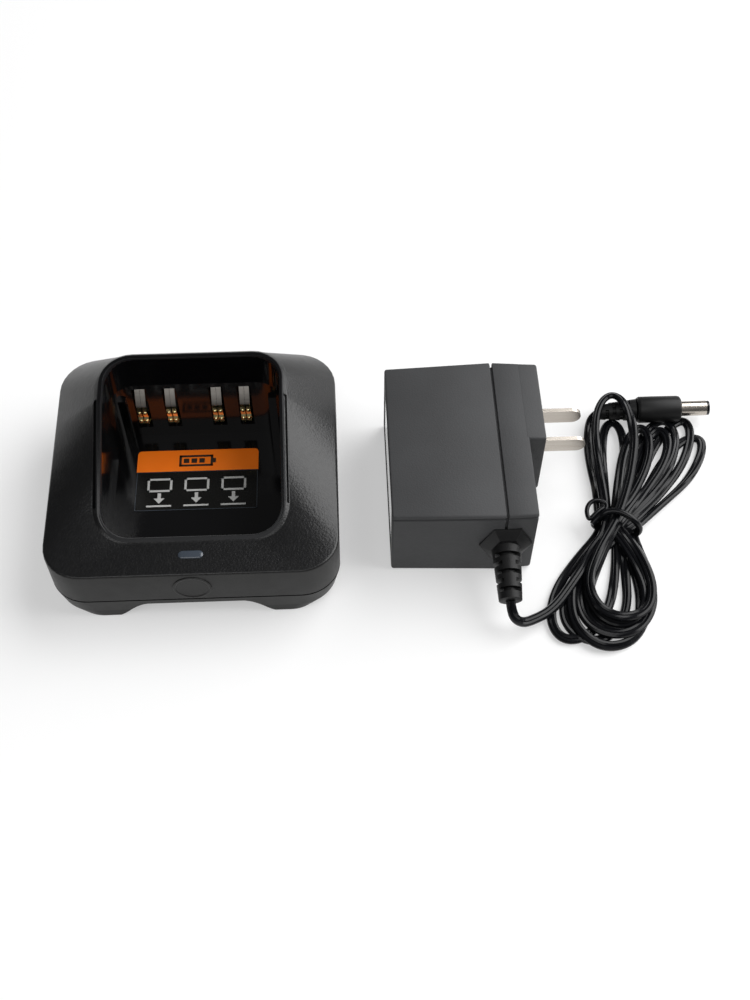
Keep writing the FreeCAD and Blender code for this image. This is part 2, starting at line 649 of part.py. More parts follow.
def rounded_section(x, half, height, low, edge):
    """Rounded rectangle across the power supply at one x."""
    middle_y = size("adapter_y")
    bend = edge * (1 - math.sqrt(0.5))
    high = low + height

    def corner(side, z, inward):
        """Start, middle and end of the arc at one corner, from the upright side to the level one."""
        return (Vector(x, middle_y + side * half, z + inward * edge),
                Vector(x, middle_y + side * (half - bend), z + inward * bend),
                Vector(x, middle_y + side * (half - edge), z))
    first, second = corner(1, high, -1), corner(-1, high, -1)
    third, fourth = corner(-1, low, 1), corner(1, low, 1)
    edges = [
        Part.Arc(*first).toShape(), Part.LineSegment(first[2], second[2]).toShape(),
        Part.Arc(*reversed(second)).toShape(), Part.LineSegment(second[0], third[0]).toShape(),
        Part.Arc(*third).toShape(), Part.LineSegment(third[2], fourth[2]).toShape(),
        Part.Arc(*reversed(fourth)).toShape(), Part.LineSegment(fourth[0], first[0]).toShape(),
    ]
    return Part.Wire(edges)


def case_loft(start, end, wall):
    """Solid between two rounded sections, each (x, half depth, height)."""
    sections = []
    for x, half, height in (start, end):
        low = (size("adapter_height_seam") - height) / 2 + wall
        sections.append(rounded_section(x, half - wall, height - 2 * wall, low, size("adapter_edge")))
    return Part.makeLoft(sections, True, True)


def build_adapter_case():
    wall = size("adapter_wall")
    left, seam = size("adapter_left"), size("adapter_seam")
    end = (left, size("adapter_half_end"), size("adapter_height_end"))
    mouth = (seam - size("seam_gap") / 2, size("adapter_half_seam"), size("adapter_height_seam"))
    outer = feature("case_outside", case_loft(end, mouth, 0.0))
    cavity_end = (left + wall, size("adapter_half_end"), size("adapter_height_end"))
    cavity_mouth = (mouth[0] + 1.0, size("adapter_half_seam"), size("adapter_height_seam"))
    inner = feature("case_inside", case_loft(cavity_end, cavity_mouth, wall))
    panel = block("end_panel_recess", "adapter_left", "adapter_y",
                  "(adapter_height_seam - end_panel_height) / 2", "2 * end_panel_depth", "end_panel_width",
                  "end_panel_height")
    notch = cord_notch("case_cord_notch")
    keep(cut("adapter_case", outer, fuse("case_voids", [inner, panel, notch])), "adapter_case")


def cord_notch(name):
    """Round hole through the front wall, half in the case and half in its cap, that holds the cord's neck."""
    return rod(name, "boot_x", "adapter_y - adapter_half_seam - 3", "boot_z", "notch_radius", "8", (0, 1, 0))


def build_adapter_cap():
    wall = size("adapter_wall")
    play = size("cap_play")
    seam, recess = size("adapter_seam"), size("adapter_recess")
    rim = (seam + size("seam_gap") / 2, size("adapter_half_seam"), size("adapter_height_seam"))
    face = (recess, size("cap_half_recess"), size("cap_height_recess"))
    outer = feature("cap_outside", case_loft(rim, face, 0.0))
    boss = block("cap_boss", "(adapter_recess + adapter_face) / 2 - 0.5", "(boss_low_y + boss_high_y) / 2",
                 "boss_low_z", "adapter_face - adapter_recess + 1", "boss_high_y - boss_low_y",
                 "boss_high_z - boss_low_z")
    spigot_half = size("adapter_half_seam") - wall - play
    spigot_height = size("adapter_height_seam") - 2 * (wall + play)
    spigot = feature("cap_spigot", case_loft((seam - 1.6, spigot_half, spigot_height),
                                             (seam + 1.0, spigot_half, spigot_height), 0.0))
    cavity_start = (seam - 3.0, size("adapter_half_seam") - 0.8, size("adapter_height_seam") - 1.6)
    cavity_end = (recess - wall, size("cap_half_recess") - 0.8, size("cap_height_recess") - 1.6)
    inner = feature("cap_inside", case_loft(cavity_start, cavity_end, wall))
    holes = [inner]
    for name, side in (("live", -1), ("neutral", 1)):
        y = f"blade_y + {side} * blade_pitch / 2"
        holes.append(block(f"{name}_blade_slot", "adapter_face - 4", y, "blade_z - blade_width / 2 - 0.05",
                           "16", "blade_thickness + 0.1", "blade_width + 0.1"))
    holes.append(cord_notch("cap_cord_notch"))
    solid = fuse("cap_solid", [outer, boss, spigot])
    keep(cut("adapter_cap", solid, fuse("cap_voids", holes)), "adapter_cap")


def build_blades():
    for name, side in (("live_blade", -1), ("neutral_blade", 1)):
        y = f"blade_y + {side} * blade_pitch / 2"
        length = "adapter_face + blade_reach - blade_root"
        strip = block(name + "_strip", f"blade_root + ({length} - blade_width / 2) / 2", y,
                      "blade_z - blade_width / 2", f"{length} - blade_width / 2", "blade_thickness",
                      "blade_width")
        tip = rod(name + "_tip", "adapter_face + blade_reach - blade_width / 2", f"{y} - blade_thickness / 2",
                  "blade_z", "blade_width / 2", "blade_thickness", (0, 1, 0))
        keep(fuse(name, [strip, tip]), name)
    carrier = block("carrier_plate", "blade_root + 1.2", "blade_y", "blade_z - 6", "2.4", "22", "12")
    slots = [block(f"carrier_slot_{side + 2}", "blade_root + 1.2", f"blade_y + {side} * blade_pitch / 2",
                   "blade_z - blade_width / 2", "4", "blade_thickness", "blade_width") for side in (-1, 1)]
    keep(cut("blade_carrier", carrier, fuse("carrier_slots", slots)), "blade_carrier")


def build_adapter_inside():
    board_top = "5.6"
    keep(plate("adapter_board", "43", "0", "4", "32", "50", "1.6", "1"), "adapter_board")
    core_outer = block("core_outer", "44", "-2", board_top, "19", "20", "16")
    core_window = block("core_window", "44", "-2", f"{board_top} + 3.5", "11.5", "24", "9")
    keep(cut("transformer_core", core_outer, core_window), "transformer_core")
    winding = plate("transformer_winding", "44", "-2", f"{board_top} + 3.6", "11.2", "23", "8.8", "2")
    keep(winding, "transformer_winding")
    keep(rod("input_capacitor", "50", "18", board_top, "5", "17"), "input_capacitor")
    keep(rod("output_capacitor", "36", "-19", board_top, "4", "13"), "output_capacitor")
    keep(rod("input_fuse", "30", "14", f"{board_top} + 2", "1.9", "9", (1, 0, 0)), "input_fuse")
    body = block("transistor_body", "33", "21", f"{board_top} + 1", "10", "3", "9")
    fin = block("heat_sink_fin", "33", "23.1", board_top, "14", "1.2", "16")
    keep(fuse("switching_transistor", [body, fin]), "switching_transistor")
    panel = plate("adapter_label", "0", "0", "0", "end_panel_height - 0.4", "end_panel_width - 0.4",
                  "0.3", "1.2")
    panel.Placement = Placement(Vector(), Rotation(Vector(0, 1, 0), 90))
    keep(place(panel, "adapter_left + end_panel_depth - 0.3", "adapter_y", "adapter_height_seam / 2"),
         "adapter_label")


# ---------------------------------------------------------------- cord set

def ribbed_cone(length, root, tip, rib, count):
    """Solid of revolution along +Z: a taper with raised ribs."""
    step = length / (count * 2 + 1)
    profile = [Vector(0, 0, 0), Vector(root, 0, 0)]
    for index in range(count):
        for share, extra in ((2 * index + 1, 0.0), (2 * index + 1, -rib), (2 * index + 2, -rib),
                             (2 * index + 2, 0.0)):
            z = share * step
            radius = root + (tip - root) * z / length + extra
            profile.append(Vector(radius, 0, z))
    profile.append(Vector(tip, 0, length))
    profile.append(Vector(0, 0, length))
    face = Part.Face(Part.makePolygon(profile + profile[:1]))
    return face.revolve(Vector(), Vector(0, 0, 1), 360)


def build_strain_relief():
    """Ribbed boot on a bevelled plinth; returns its solid, where the lead leaves it, and its direction."""
    front = size("adapter_y") - size("adapter_half_seam")
    plinth_size, stand = size("plinth_size"), size("plinth_stand")
    root = Vector(size("boot_x"), front, size("boot_z"))
    outline = [root + Vector(x, 0, z) * (plinth_size / 2) for x, z in HEXAGON]
    crown = [root + Vector(0, -stand, 0) + Vector(x * 0.6, 0, z * 0.67) * (plinth_size / 2)
             for x, z in HEXAGON]
    plinth = Part.makeLoft([Part.makePolygon(outline), Part.makePolygon(crown)], True, True)
    cone = ribbed_cone(size("boot_length"), size("boot_root"), size("boot_tip"), size("boot_rib"),
                       int(size("boot_ribs")))
    tilt = math.radians(size("boot_tilt"))
    direction = Vector(0, -math.cos(tilt), -math.sin(tilt))
    start = root + Vector(0, size("boot_sink") - stand, 0)
    cone.Placement = Placement(start, Rotation(Vector(0, 0, 1), direction))
    neck_radius = size("notch_radius") - size("cord_clearance")
    neck = Part.makeCylinder(neck_radius, 6.0, root + Vector(0, 5.2, 0), Vector(0, -1, 0))
    relief = plinth.fuse([cone, neck]).removeSplitter()
    keep(feature("strain_relief", relief), "strain_relief")
    return relief, start + direction * size("boot_length")


HEXAGON = ((1.0, 0.0), (0.5, 1.0), (-0.5, 1.0), (-1.0, 0.0), (-0.5, -1.0), (0.5, -1.0), (1.0, 0.0))

# Route of the free lead from the strain relief to the hank: hand-chosen points of a limp cord.
LEAD_ROUTE = (
    (60.5, -52.4, 11.9), (61.7, -54.6, 8.8), (64.9, -54.4, 5.2), (69.4, -52.4, 3.0), (74.0, -49.8, 3.2),
    (78.2, -46.0, 4.6), (82.0, -41.0, 5.4),
)

HANK_UPPER = (
    (94.2, -9.0), (94.4, 6.0), (95.0, 22.0), (99.0, 34.0), (106.0, 42.0), (113.0, 40.0), (115.2, 31.0),
    (125.0, 28.0), (134.0, 29.0), (138.4, 18.0), (132.0, 5.0), (120.0, -8.0), (110.0, -13.0),
)
HANK_LOWER = (
    (95.0, -18.0), (83.0, -29.0), (75.6, -40.0), (73.2, -50.0), (76.0, -58.0), (84.0, -62.4), (94.0, -64.4),
    (104.0, -61.0), (110.6, -49.0), (112.0, -34.0), (109.0, -21.0),
)


def tangent_tube(points, radius):
    """Tube of straight runs joined by the largest arcs that its runs allow."""
    edges = []
    radii = []
    last = points[0]
    for before, corner, after in zip(points, points[1:], points[2:]):
        inward = (before - corner).normalize()
        outward = (after - corner).normalize()
        turn = math.pi - inward.getAngle(outward)
        shorter = min((before - corner).Length, (after - corner).Length)
        reach = 0.45 * shorter
        bend = reach / math.tan(turn / 2)
        radii.append(bend)
        bisector = (inward + outward).normalize()
        enter = corner + inward * reach
        leave = corner + outward * reach
        middle = corner + bisector * (bend / math.cos(turn / 2) - bend)
        edges.append(Part.LineSegment(last, enter).toShape())
        edges.append(Part.Arc(enter, middle, leave).toShape())
        last = leave
    edges.append(Part.LineSegment(last, points[-1]).toShape())
    path = Part.Wire(edges)
    ring = Part.Wire(Part.makeCircle(radius, points[0], points[1] - points[0]))
    solid = path.makePipeShell([ring], True, True)
    print("arc radii:", [round(bend, 1) for bend in radii], "length:", round(path.Length, 1),
          "volume share:", round(solid.Volume / (math.pi * radius ** 2 * path.Length), 4))
    return solid


def outline_solid(points, height):
    """Closed smooth outline through the points, extruded up from the surface."""
    curve = Part.BSplineCurve()
    curve.interpolate([Vector(x, y, 0) for x, y in points], PeriodicFlag=True)
    return Part.Face(Part.Wire(curve.toShape())).extrude(Vector(0, 0, height))


def build_cord(boot, exit_point):
    lead = tangent_tube([exit_point] + [Vector(*point) for point in LEAD_ROUTE], size("cord_width") / 2)
    lead = lead.cut(boot)
    tie = build_tie()
    plug_start = Vector(size("plug_left"), size("plug_y"), size("plug_z"))
    plug = Part.makeCylinder(size("plug_radius"), size("plug_right") - size("plug_left"), plug_start,
                             Vector(1, 0, 0))
    relief = plug_relief_shape(plug_start).cut(plug)
    upper = outline_solid(HANK_UPPER, size("hank_height")).cut([tie, relief, plug])
    lower = outline_solid(HANK_LOWER, size("hank_height")).cut([tie, lead])
    for label, shape in (("cord_lead", lead), ("cord_hank_upper", upper), ("cord_hank_lower", lower),
                         ("cord_tie", tie), ("plug_strain_relief", relief)):
        whole = max(shape.Solids, key=lambda solid: solid.Volume)
        keep(feature(label, whole), label)


def build_tie():
    """Band round the waist of the hank."""
    width, thickness = size("tie_width"), size("tie_thickness")
    band = Part.makeBox(width, thickness, size("tie_height"), Vector(-width / 2, -thickness / 2, 0))
    upright = [edge for edge in band.Edges if abs(edge.tangentAt(edge.FirstParameter).z) > 0.99]
    band = band.makeFillet(size("tie_corner"), upright)
    band.Placement = Placement(Vector(size("tie_x"), size("tie_y"), 0),
                               Rotation(Vector(0, 0, 1), size("tie_turn")))
    return band


def plug_relief_shape(start):
    cone = ribbed_cone(size("plug_relief_length"), size("plug_relief_root"), size("plug_relief_tip"),
                       size("plug_relief_rib"), int(size("plug_relief_ribs")))
    cone.Placement = Placement(start, Rotation(Vector(0, 0, 1), Vector(-1, 0.06, -0.12)))
    return cone


def build_plug():
    length = "plug_right - plug_left"
    body = rod("plug_grip", "plug_left", "plug_y", "plug_z", "plug_radius", length, (1, 0, 0))
    keep(body, "plug_body")
    outer = rod("barrel_outside", "plug_right", "plug_y", "plug_z", "barrel_radius", "barrel_length",
                (1, 0, 0))
    inner = rod("barrel_inside", "plug_right + 0.6", "plug_y", "plug_z", "barrel_radius - 0.4",
                "barrel_length", (1, 0, 0))
    keep(cut("plug_barrel", outer, inner), "plug_barrel")
    core = rod("sleeve_core", "plug_right + 0.6", "plug_y", "plug_z", "barrel_radius - 0.4",
               "barrel_length - 0.6", (1, 0, 0))
    tip = rod("sleeve_tip", "plug_right + barrel_length", "plug_y", "plug_z", "barrel_radius - 0.1",
              "tip_length", (1, 0, 0))
    bore = rod("sleeve_bore", "plug_right + 1.6", "plug_y", "plug_z", "barrel_bore",
               "barrel_length + tip_length", (1, 0, 0))
    keep(cut("plug_insulator", fuse("sleeve_solid", [core, tip]), bore), "plug_insulator")


# ---------------------------------------------------------------- build, check and write

build_top_cover()
build_pocket_insert()
build_bottom_cover()
build_case_hardware()
build_indicator()
build_front_badge()
build_pocket_label()
build_contacts()
build_contact_carrier()
build_electronics()
build_jack()
build_adapter_case()
build_adapter_cap()
build_blades()
build_adapter_inside()
build_cord(*build_strain_relief())
build_plug()
doc.recompute()

faults = [item.Name for item in doc.Objects if "Invalid" in item.State or "Error" in item.State]
for piece in nodes:
    if piece.Shape.isNull() or not piece.Shape.isValid() or not piece.Shape.Solids:
        faults.append(piece.Label)
if faults:
    raise RuntimeError("objects that failed: " + ", ".join(faults))

os.makedirs("parts", exist_ok=True)
for piece in nodes:
    piece.Shape.exportStep(f"parts/{piece.Label}.step")
    print(piece.Label, len(piece.Shape.Solids), round(piece.Shape.Volume, 1))
print(len(nodes), "nodes")
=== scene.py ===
"""Desk charging set: a charging cradle, its plug-in mains adapter and the adapter's flat twin lead, tied in a hank."""

import math

import bmesh
import bpy
import numpy as np
from mathutils import Matrix, Vector


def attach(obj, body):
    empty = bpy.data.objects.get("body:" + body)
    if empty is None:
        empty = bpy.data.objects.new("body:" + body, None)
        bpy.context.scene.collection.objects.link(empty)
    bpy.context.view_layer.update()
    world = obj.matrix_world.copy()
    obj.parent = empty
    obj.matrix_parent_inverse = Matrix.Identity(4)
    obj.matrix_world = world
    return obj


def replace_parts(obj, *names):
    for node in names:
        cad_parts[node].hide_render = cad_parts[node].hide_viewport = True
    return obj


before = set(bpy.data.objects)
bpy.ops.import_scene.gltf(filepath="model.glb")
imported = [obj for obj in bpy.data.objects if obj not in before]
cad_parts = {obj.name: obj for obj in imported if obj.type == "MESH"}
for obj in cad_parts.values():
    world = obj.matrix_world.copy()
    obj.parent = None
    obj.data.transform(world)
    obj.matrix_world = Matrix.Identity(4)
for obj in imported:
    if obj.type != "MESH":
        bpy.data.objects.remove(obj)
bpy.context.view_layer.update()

MM = 0.001


def mm(*values):
    """A point given in millimetres, in metres."""
    return tuple(value * MM for value in values)


# ---------------------------------------------------------------- camera, floor and light

CAMERA_PLACE = (0.00785, -0.2568, 0.3789)
CAMERA_DOWN = 55.80
CAMERA_ROLL = -2.161
CAMERA_LENS = 45.84
FLOOR_REACH = 3.0
FLOOR_GREY = 0.52
FLOOR_GLOW = 0.4
WORLD_LIGHT = 0.12
# Each softbox: name, place, target, width and height in metres, power in watts
SOFTBOXES = (
    ("key_softbox", (-0.25, -0.7, 1.2), (0, 0, 0), (1.0, 0.8), 6),
    ("right_softbox", (1.2, 0.45, 1.1), (0, 0, 0.02), (1.9, 1.9), 56),
)


def build_camera():
    data = bpy.data.cameras.new("Camera")
    data.lens = CAMERA_LENS
    data.sensor_width = 36
    data.clip_start = 0.01
    data.clip_end = 20
    camera = bpy.data.objects.new("Camera", data)
    camera.location = CAMERA_PLACE
    camera.rotation_euler = (math.radians(90 - CAMERA_DOWN), 0, math.radians(CAMERA_ROLL))
    bpy.context.scene.collection.objects.link(camera)
    bpy.context.scene.camera = camera


def add_softbox(name, place, target, size, power):
    data = bpy.data.lights.new(name, "AREA")
    data.shape = "RECTANGLE"
    data.size, data.size_y = size
    data.energy = power
    lamp = bpy.data.objects.new(name, data)
    lamp.location = place
    aim = Vector(target) - Vector(place)
    lamp.rotation_euler = aim.to_track_quat("-Z", "Y").to_euler()
    bpy.context.scene.collection.objects.link(lamp)


def build_studio():
    mesh = bpy.data.meshes.new("floor")
    corners = [(x * FLOOR_REACH, y * FLOOR_REACH, 0) for x, y in ((-1, -1), (1, -1), (1, 1), (-1, 1))]
    mesh.from_pydata(corners, [], [(0, 1, 2, 3)])
    floor = bpy.data.objects.new("floor", mesh)
    bpy.context.scene.collection.objects.link(floor)
    paper = bpy.data.materials.new("floor_paper")
    paper.use_nodes = True
    shader = paper.node_tree.nodes["Principled BSDF"]
    shader.inputs["Base Color"].default_value = (FLOOR_GREY, FLOOR_GREY, FLOOR_GREY, 1)
    shader.inputs["Roughness"].default_value = 0.9
    shader.inputs["Specular IOR Level"].default_value = 0.1
    shader.inputs["Emission Color"].default_value = (1, 1, 1, 1)
    shader.inputs["Emission Strength"].default_value = FLOOR_GLOW
    mesh.materials.append(paper)

    world = bpy.data.worlds.new("studio")
    world.use_nodes = True
    world.node_tree.nodes["Background"].inputs["Color"].default_value = (1, 1, 1, 1)
    world.node_tree.nodes["Background"].inputs["Strength"].default_value = WORLD_LIGHT
    bpy.context.scene.world = world
    bpy.context.scene.view_settings.view_transform = "Standard"
    for softbox in SOFTBOXES:
        add_softbox(*softbox)


# ---------------------------------------------------------------- the flat twin lead

JACKET_WIDTH = 3.4
CORD_THICKNESS = 2.15
RESTING_HEIGHT = CORD_THICKNESS * 0.6
FLOOR_GAP = 0.04
ROLL_SWING = 26
CORD_BODY = "power_supply"

LEAD_EXIT = (60.4, -50.25, 12.97)
LEAD_ROUTE = (
    (60.5, -52.4, 11.9),
    (61.7, -54.6, 8.8),
    (64.9, -54.4, 5.2),
    (69.4, -52.4, 3.0),
    (74.0, -49.8, 3.4),
    (78.2, -46.0, 5.0),
    (82.6, -40.6, 6.4),
    (87.6, -34.0, 7.2),
    (92.8, -27.6, 7.8),
    (97.4, -22.2, 8.0),
)
PLUG_ROUTE = (
    (97.6, 1.0, 1.4),
    (96.8, 9.0, 1.3),
    (96.6, 16.5, 1.3),
    (97.2, 23.4, 1.5),
    (98.4, 29.6, 2.4),
    (100.4, 33.2, 3.6),
    (103.4, 34.1, 4.7),
)

WAIST = (102.0, -15.5)
WAIST_TURN = -13.0
WAIST_HALF = 5.4
WAIST_LAYERS = (1.3, 3.3, 5.3)
WAIST_STEP = 2.0
LOOP_POINTS = 9
LOOP_FULLNESS = 0.72
LOOP_TAPER = 1.2

# Each loop: heading from the waist (degrees clockwise from the rear), then its reach, width, sideways bow and
# height in millimetres
UPPER_LOOPS = (
    (20.0, 45.5, 9.0, 1.0, 7.0),
    (5.5, 54.5, 13.5, 0.5, 10.0),
    (6.5, 48.5, 8.5, 0.5, 4.0),
    (29.0, 48.0, 10.0, 1.0, 5.0),
    (29.0, 53.0, 13.0, 1.5, 3.0),
    (35.0, 57.5, 12.0, 2.0, 3.0),
    (43.0, 53.5, 11.0, 2.5, 2.0),
)
LOWER_LOOPS = (
    (186.0, 39.0, 21.5, 0.0, 8.0),
    (186.5, 40.5, 19.5, 0.0, 6.0),
    (188.0, 42.5, 20.5, 0.0, 5.0),
    (190.0, 44.5, 23.5, 0.0, 4.0),
    (194.0, 48.5, 25.5, 0.0, 3.0),
    (200.0, 47.5, 20.5, 0.0, 2.0),
    (208.5, 49.5, 18.0, 0.0, 2.0),
)


def toward(degrees):
    angle = math.radians(degrees)
    return np.array([math.sin(angle), math.cos(angle)])


def loop_points(start, end, heading, reach, width, bow, height):
    """The points of one teardrop loop between two places in the waist, on the side that width's sign gives."""
    ahead = toward(heading)
    beside = np.array([ahead[1], -ahead[0]])
    points = []
    for step in range(1, LOOP_POINTS + 1):
        share = step / (LOOP_POINTS + 1)
        turn = math.pi * share
        along = reach * math.sin(turn) ** 2
        side = LOOP_FULLNESS * width * math.sin(2 * turn) * math.sin(turn) ** LOOP_TAPER
        side += bow * math.sin(math.pi * along / reach)
        hold = (1 - math.sin(turn)) ** 2
        base = np.array(WAIST) + hold * ((start if share < 0.5 else end) - np.array(WAIST))
        flat = base + ahead * along + beside * side
        points.append((flat[0], flat[1], height))
    return points


def waist_places(ends):
    """Where each strand passes the tied waist: rising strands in two upper layers, falling ones in two lower."""
    turn = math.radians(WAIST_TURN)
    across = np.array([math.cos(turn), math.sin(turn)])
    middle = np.array(WAIST)
    lean = [float((np.array(before[:2]) + np.array(after[:2]) - 2 * middle) @ across) for before, after in ends]
    places = [None] * len(ends)
    for first, height in ((0, WAIST_LAYERS[2]), (1, WAIST_LAYERS[0])):
        family = sorted(range(first, len(ends), 2), key=lambda index: lean[index])
        for rank, index in enumerate(family):
            column = WAIST_HALF * (2 * rank / (len(family) - 1) - 1)
            flat = middle + across * column
            places[index] = np.array([flat[0], flat[1], height + (rank % 2) * WAIST_STEP])
    return places


def hank_points():
    """The control points of the whole lead, in millimetres: the lead, its looped turns and the plug's end."""
    loops = []
    for upper, (heading, reach, width, bow, height) in zip(UPPER_LOOPS, LOWER_LOOPS):
        loops += [upper, (heading, reach, -width, bow, height)]
    middle = np.array(WAIST)
    ends = [LEAD_ROUTE[-1]]
    for loop in loops:
        drawn = loop_points(middle, middle, *loop)
        ends += [drawn[0], drawn[-1]]
    ends.append(PLUG_ROUTE[0])
    places = waist_places(list(zip(ends[::2], ends[1::2])))
    points = [LEAD_EXIT, *LEAD_ROUTE]
    for place, following, loop in zip(places, places[1:], loops):
        points.append(place)
        points += loop_points(place[:2], following[:2], *loop)
    points.append(places[-1])
    points += PLUG_ROUTE
    return np.array([tuple(point) for point in points])


CORD_REACH = 2.5
SETTLE_STEPS = 160
SINK_STEP = 0.06
RETURN_SHARE = 0.06
BEND_SHARE = 0.12
PUSH_SHARE = 0.4
WAIST_SHARE = 0.3
WAIST_RANGE = (1.2, 8.2)
SAMPLES_PER_SPAN = 6
LEAD_FIXED = 4
PLUG_FIXED = 4
RELIEF_THIN_END = (102.3, 33.9, 4.6)
RELIEF_THICK_END = (115.8, 33.1, 6.2)
RELIEF_RADII = (2.9, 4.9)


def spline_weights(count):
    """Rows of weights that turn control points into points of the lead's quadratic spline."""
    rows = []
    for middle in range(1, count - 1):
        for step in range(SAMPLES_PER_SPAN):
            share = step / SAMPLES_PER_SPAN
            row = np.zeros(count)
            row[middle - 1] = 0.5 * (1 - share) ** 2
            row[middle] = 0.5 + share - share ** 2
            row[middle + 1] = 0.5 * share ** 2
            rows.append(row)
    return np.array(rows)


def contact_push(samples):
    """How far each sample moves so that stretches of the lead lie beside or on each other."""
    gap = samples[:, None, :] - samples[None, :, :]
    distance = np.linalg.norm(gap, axis=2)
    index = np.arange(len(samples))
    apart = np.abs(index[:, None] - index[None, :]) > 2 * SAMPLES_PER_SPAN
    short = np.where(apart & (distance < CORD_REACH), CORD_REACH - distance, 0)
    return PUSH_SHARE * (gap * (short / np.maximum(distance, 0.05))[:, :, None]).sum(axis=1).clip(-1, 1)


def relief_push(samples):
    """How far each sample moves to lie over the plug's strain relief."""
    start, end = np.array(RELIEF_THIN_END), np.array(RELIEF_THICK_END)
    axis = end - start
    share = ((samples - start) @ axis / (axis @ axis)).clip(0, 1)
    away = samples - (start + share[:, None] * axis)
    distance = np.linalg.norm(away, axis=1)
    wanted = RELIEF_RADII[0] + share * (RELIEF_RADII[1] - RELIEF_RADII[0]) + RESTING_HEIGHT
    short = np.maximum(wanted - distance, 0)
    short[-(PLUG_FIXED + 3) * SAMPLES_PER_SPAN:] = 0
    return away * (short / np.maximum(distance, 0.05))[:, None]


def settle(points):
    """Lets the loops sink until they rest on the table, on each other and on the plug's strain relief."""
    points = points.copy()
    laid_out = points.copy()
    weights = spline_weights(len(points))
    share = weights.T / np.maximum(weights.sum(axis=0), 0.2)[:, None]
    waist = np.linalg.norm(points[:, :2] - np.array(WAIST), axis=1) < 1.2 * WAIST_HALF
    for _ in range(SETTLE_STEPS):
        points[:, 2] -= SINK_STEP
        points[:, :2] += RETURN_SHARE * (laid_out[:, :2] - points[:, :2])
        bend = points[:-2, 2] + points[2:, 2] - 2 * points[1:-1, 2]
        points[1:-1, 2] += BEND_SHARE * bend
        samples = weights @ points
        push = contact_push(samples) + relief_push(samples)
        points += share @ push
        points[:, 2] = np.maximum(points[:, 2], RESTING_HEIGHT)
        points[waist, :2] += WAIST_SHARE * (laid_out[waist, :2] - points[waist, :2])
        points[waist, 2] = points[waist, 2].clip(*WAIST_RANGE)
        points[:LEAD_FIXED] = laid_out[:LEAD_FIXED]
        points[-PLUG_FIXED:] = laid_out[-PLUG_FIXED:]
    return points


# ---------------------------------------------------------------- mesh helpers

SHARP_ANGLE = 32

def add_mesh(name, vertices, faces, materials, body, slot, picks=None):
    """A piece of the model from vertices in millimetres; picks gives each face's place in the materials."""
    mesh = bpy.data.meshes.new(name)
    mesh.from_pydata([tuple(MM * value for value in vertex) for vertex in vertices], [], faces)
    for material in materials:
        mesh.materials.append(material)
    if picks:
        mesh.polygons.foreach_set("material_index", picks)
    work = bmesh.new()
    work.from_mesh(mesh)
    bmesh.ops.recalc_face_normals(work, faces=work.faces)
    work.to_mesh(mesh)
    work.free()
    for polygon in mesh.polygons:
        polygon.use_smooth = True
    mesh.set_sharp_from_angle(angle=math.radians(SHARP_ANGLE))
    piece = bpy.data.objects.new(name, mesh)
    bpy.context.scene.collection.objects.link(piece)
    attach(piece, body)
    return piece


def ring_faces(rings, steps):
    """Quads between successive closed rings of points, and a face on each end."""
    faces = []
    for ring in range(rings - 1):
        for step in range(steps):
            after = (step + 1) % steps
            low, high = ring * steps, (ring + 1) * steps
            faces.append((low + step, low + after, high + after, high + step))
    faces.append(tuple(reversed(range(steps))))
    faces.append(tuple(range((rings - 1) * steps, rings * steps)))
    return faces


def curve_line(points):
    """Points along the smooth spline with those control points, all in metres."""
    data = bpy.data.curves.new("route", "CURVE")
    data.dimensions = "3D"
    data.resolution_u = 8
    spline = data.splines.new("NURBS")
    spline.points.add(len(points) - 1)
    for point, place in zip(spline.points, points):
        point.co = (*place, 1)
    spline.order_u = 3
    spline.use_endpoint_u = True
    holder = bpy.data.objects.new("route", data)
    mesh = bpy.data.meshes.new_from_object(holder)
    line = np.array([tuple(vertex.co) for vertex in mesh.vertices])
    bpy.data.objects.remove(holder)
    bpy.data.meshes.remove(mesh)
    bpy.data.curves.remove(data)
    return line


def twin_section():
    """Outline of a flat twin cord: two round conductors side by side with a groove between them."""
    radius = CORD_THICKNESS / 2
    offset = JACKET_WIDTH / 2 - radius
    outline = []
    for side in (1, -1):
        for step in range(7):
            angle = math.radians(-114 + 38 * step)
            outline.append((side * (offset + radius * math.cos(angle)), side * radius * math.sin(angle)))
        outline.append((0.0, side * radius * 0.72))
    return outline


def lead_roll(distance):
    """Angle that the flat cord is rolled by, at a distance along it in metres."""
    wave = math.sin(41 * distance + 0.6) + 0.7 * math.sin(97 * distance + 2.1) + 0.5 * math.sin(23 * distance)
    return math.radians(ROLL_SWING * wave)


def build_cord(jacket):
    control = settle(hank_points()) * MM
    line = curve_line(control)
    section = twin_section()
    steps = np.linalg.norm(np.diff(line, axis=0), axis=1)
    distance = np.concatenate([[0], np.cumsum(steps)])
    vertices = []
    for index, place in enumerate(line):
        before, after = line[max(index - 1, 0)], line[min(index + 1, len(line) - 1)]
        ahead = Vector(after - before).normalized()
        level = ahead.cross(Vector((0, 0, 1))).normalized()
        roll = Matrix.Rotation(lead_roll(distance[index]), 3, ahead)
        wide = roll @ level
        thin = roll @ level.cross(ahead)
        for u, v in section:
            vertex = Vector(place) / MM + wide * u + thin * v
            vertex.z = max(vertex.z, FLOOR_GAP)
            vertices.append(vertex)
    faces = ring_faces(len(line), len(section))
    lead = add_mesh("twin_lead", vertices, faces, [jacket], CORD_BODY, "cord_jacket")
    return lead, line, float(distance[-1])


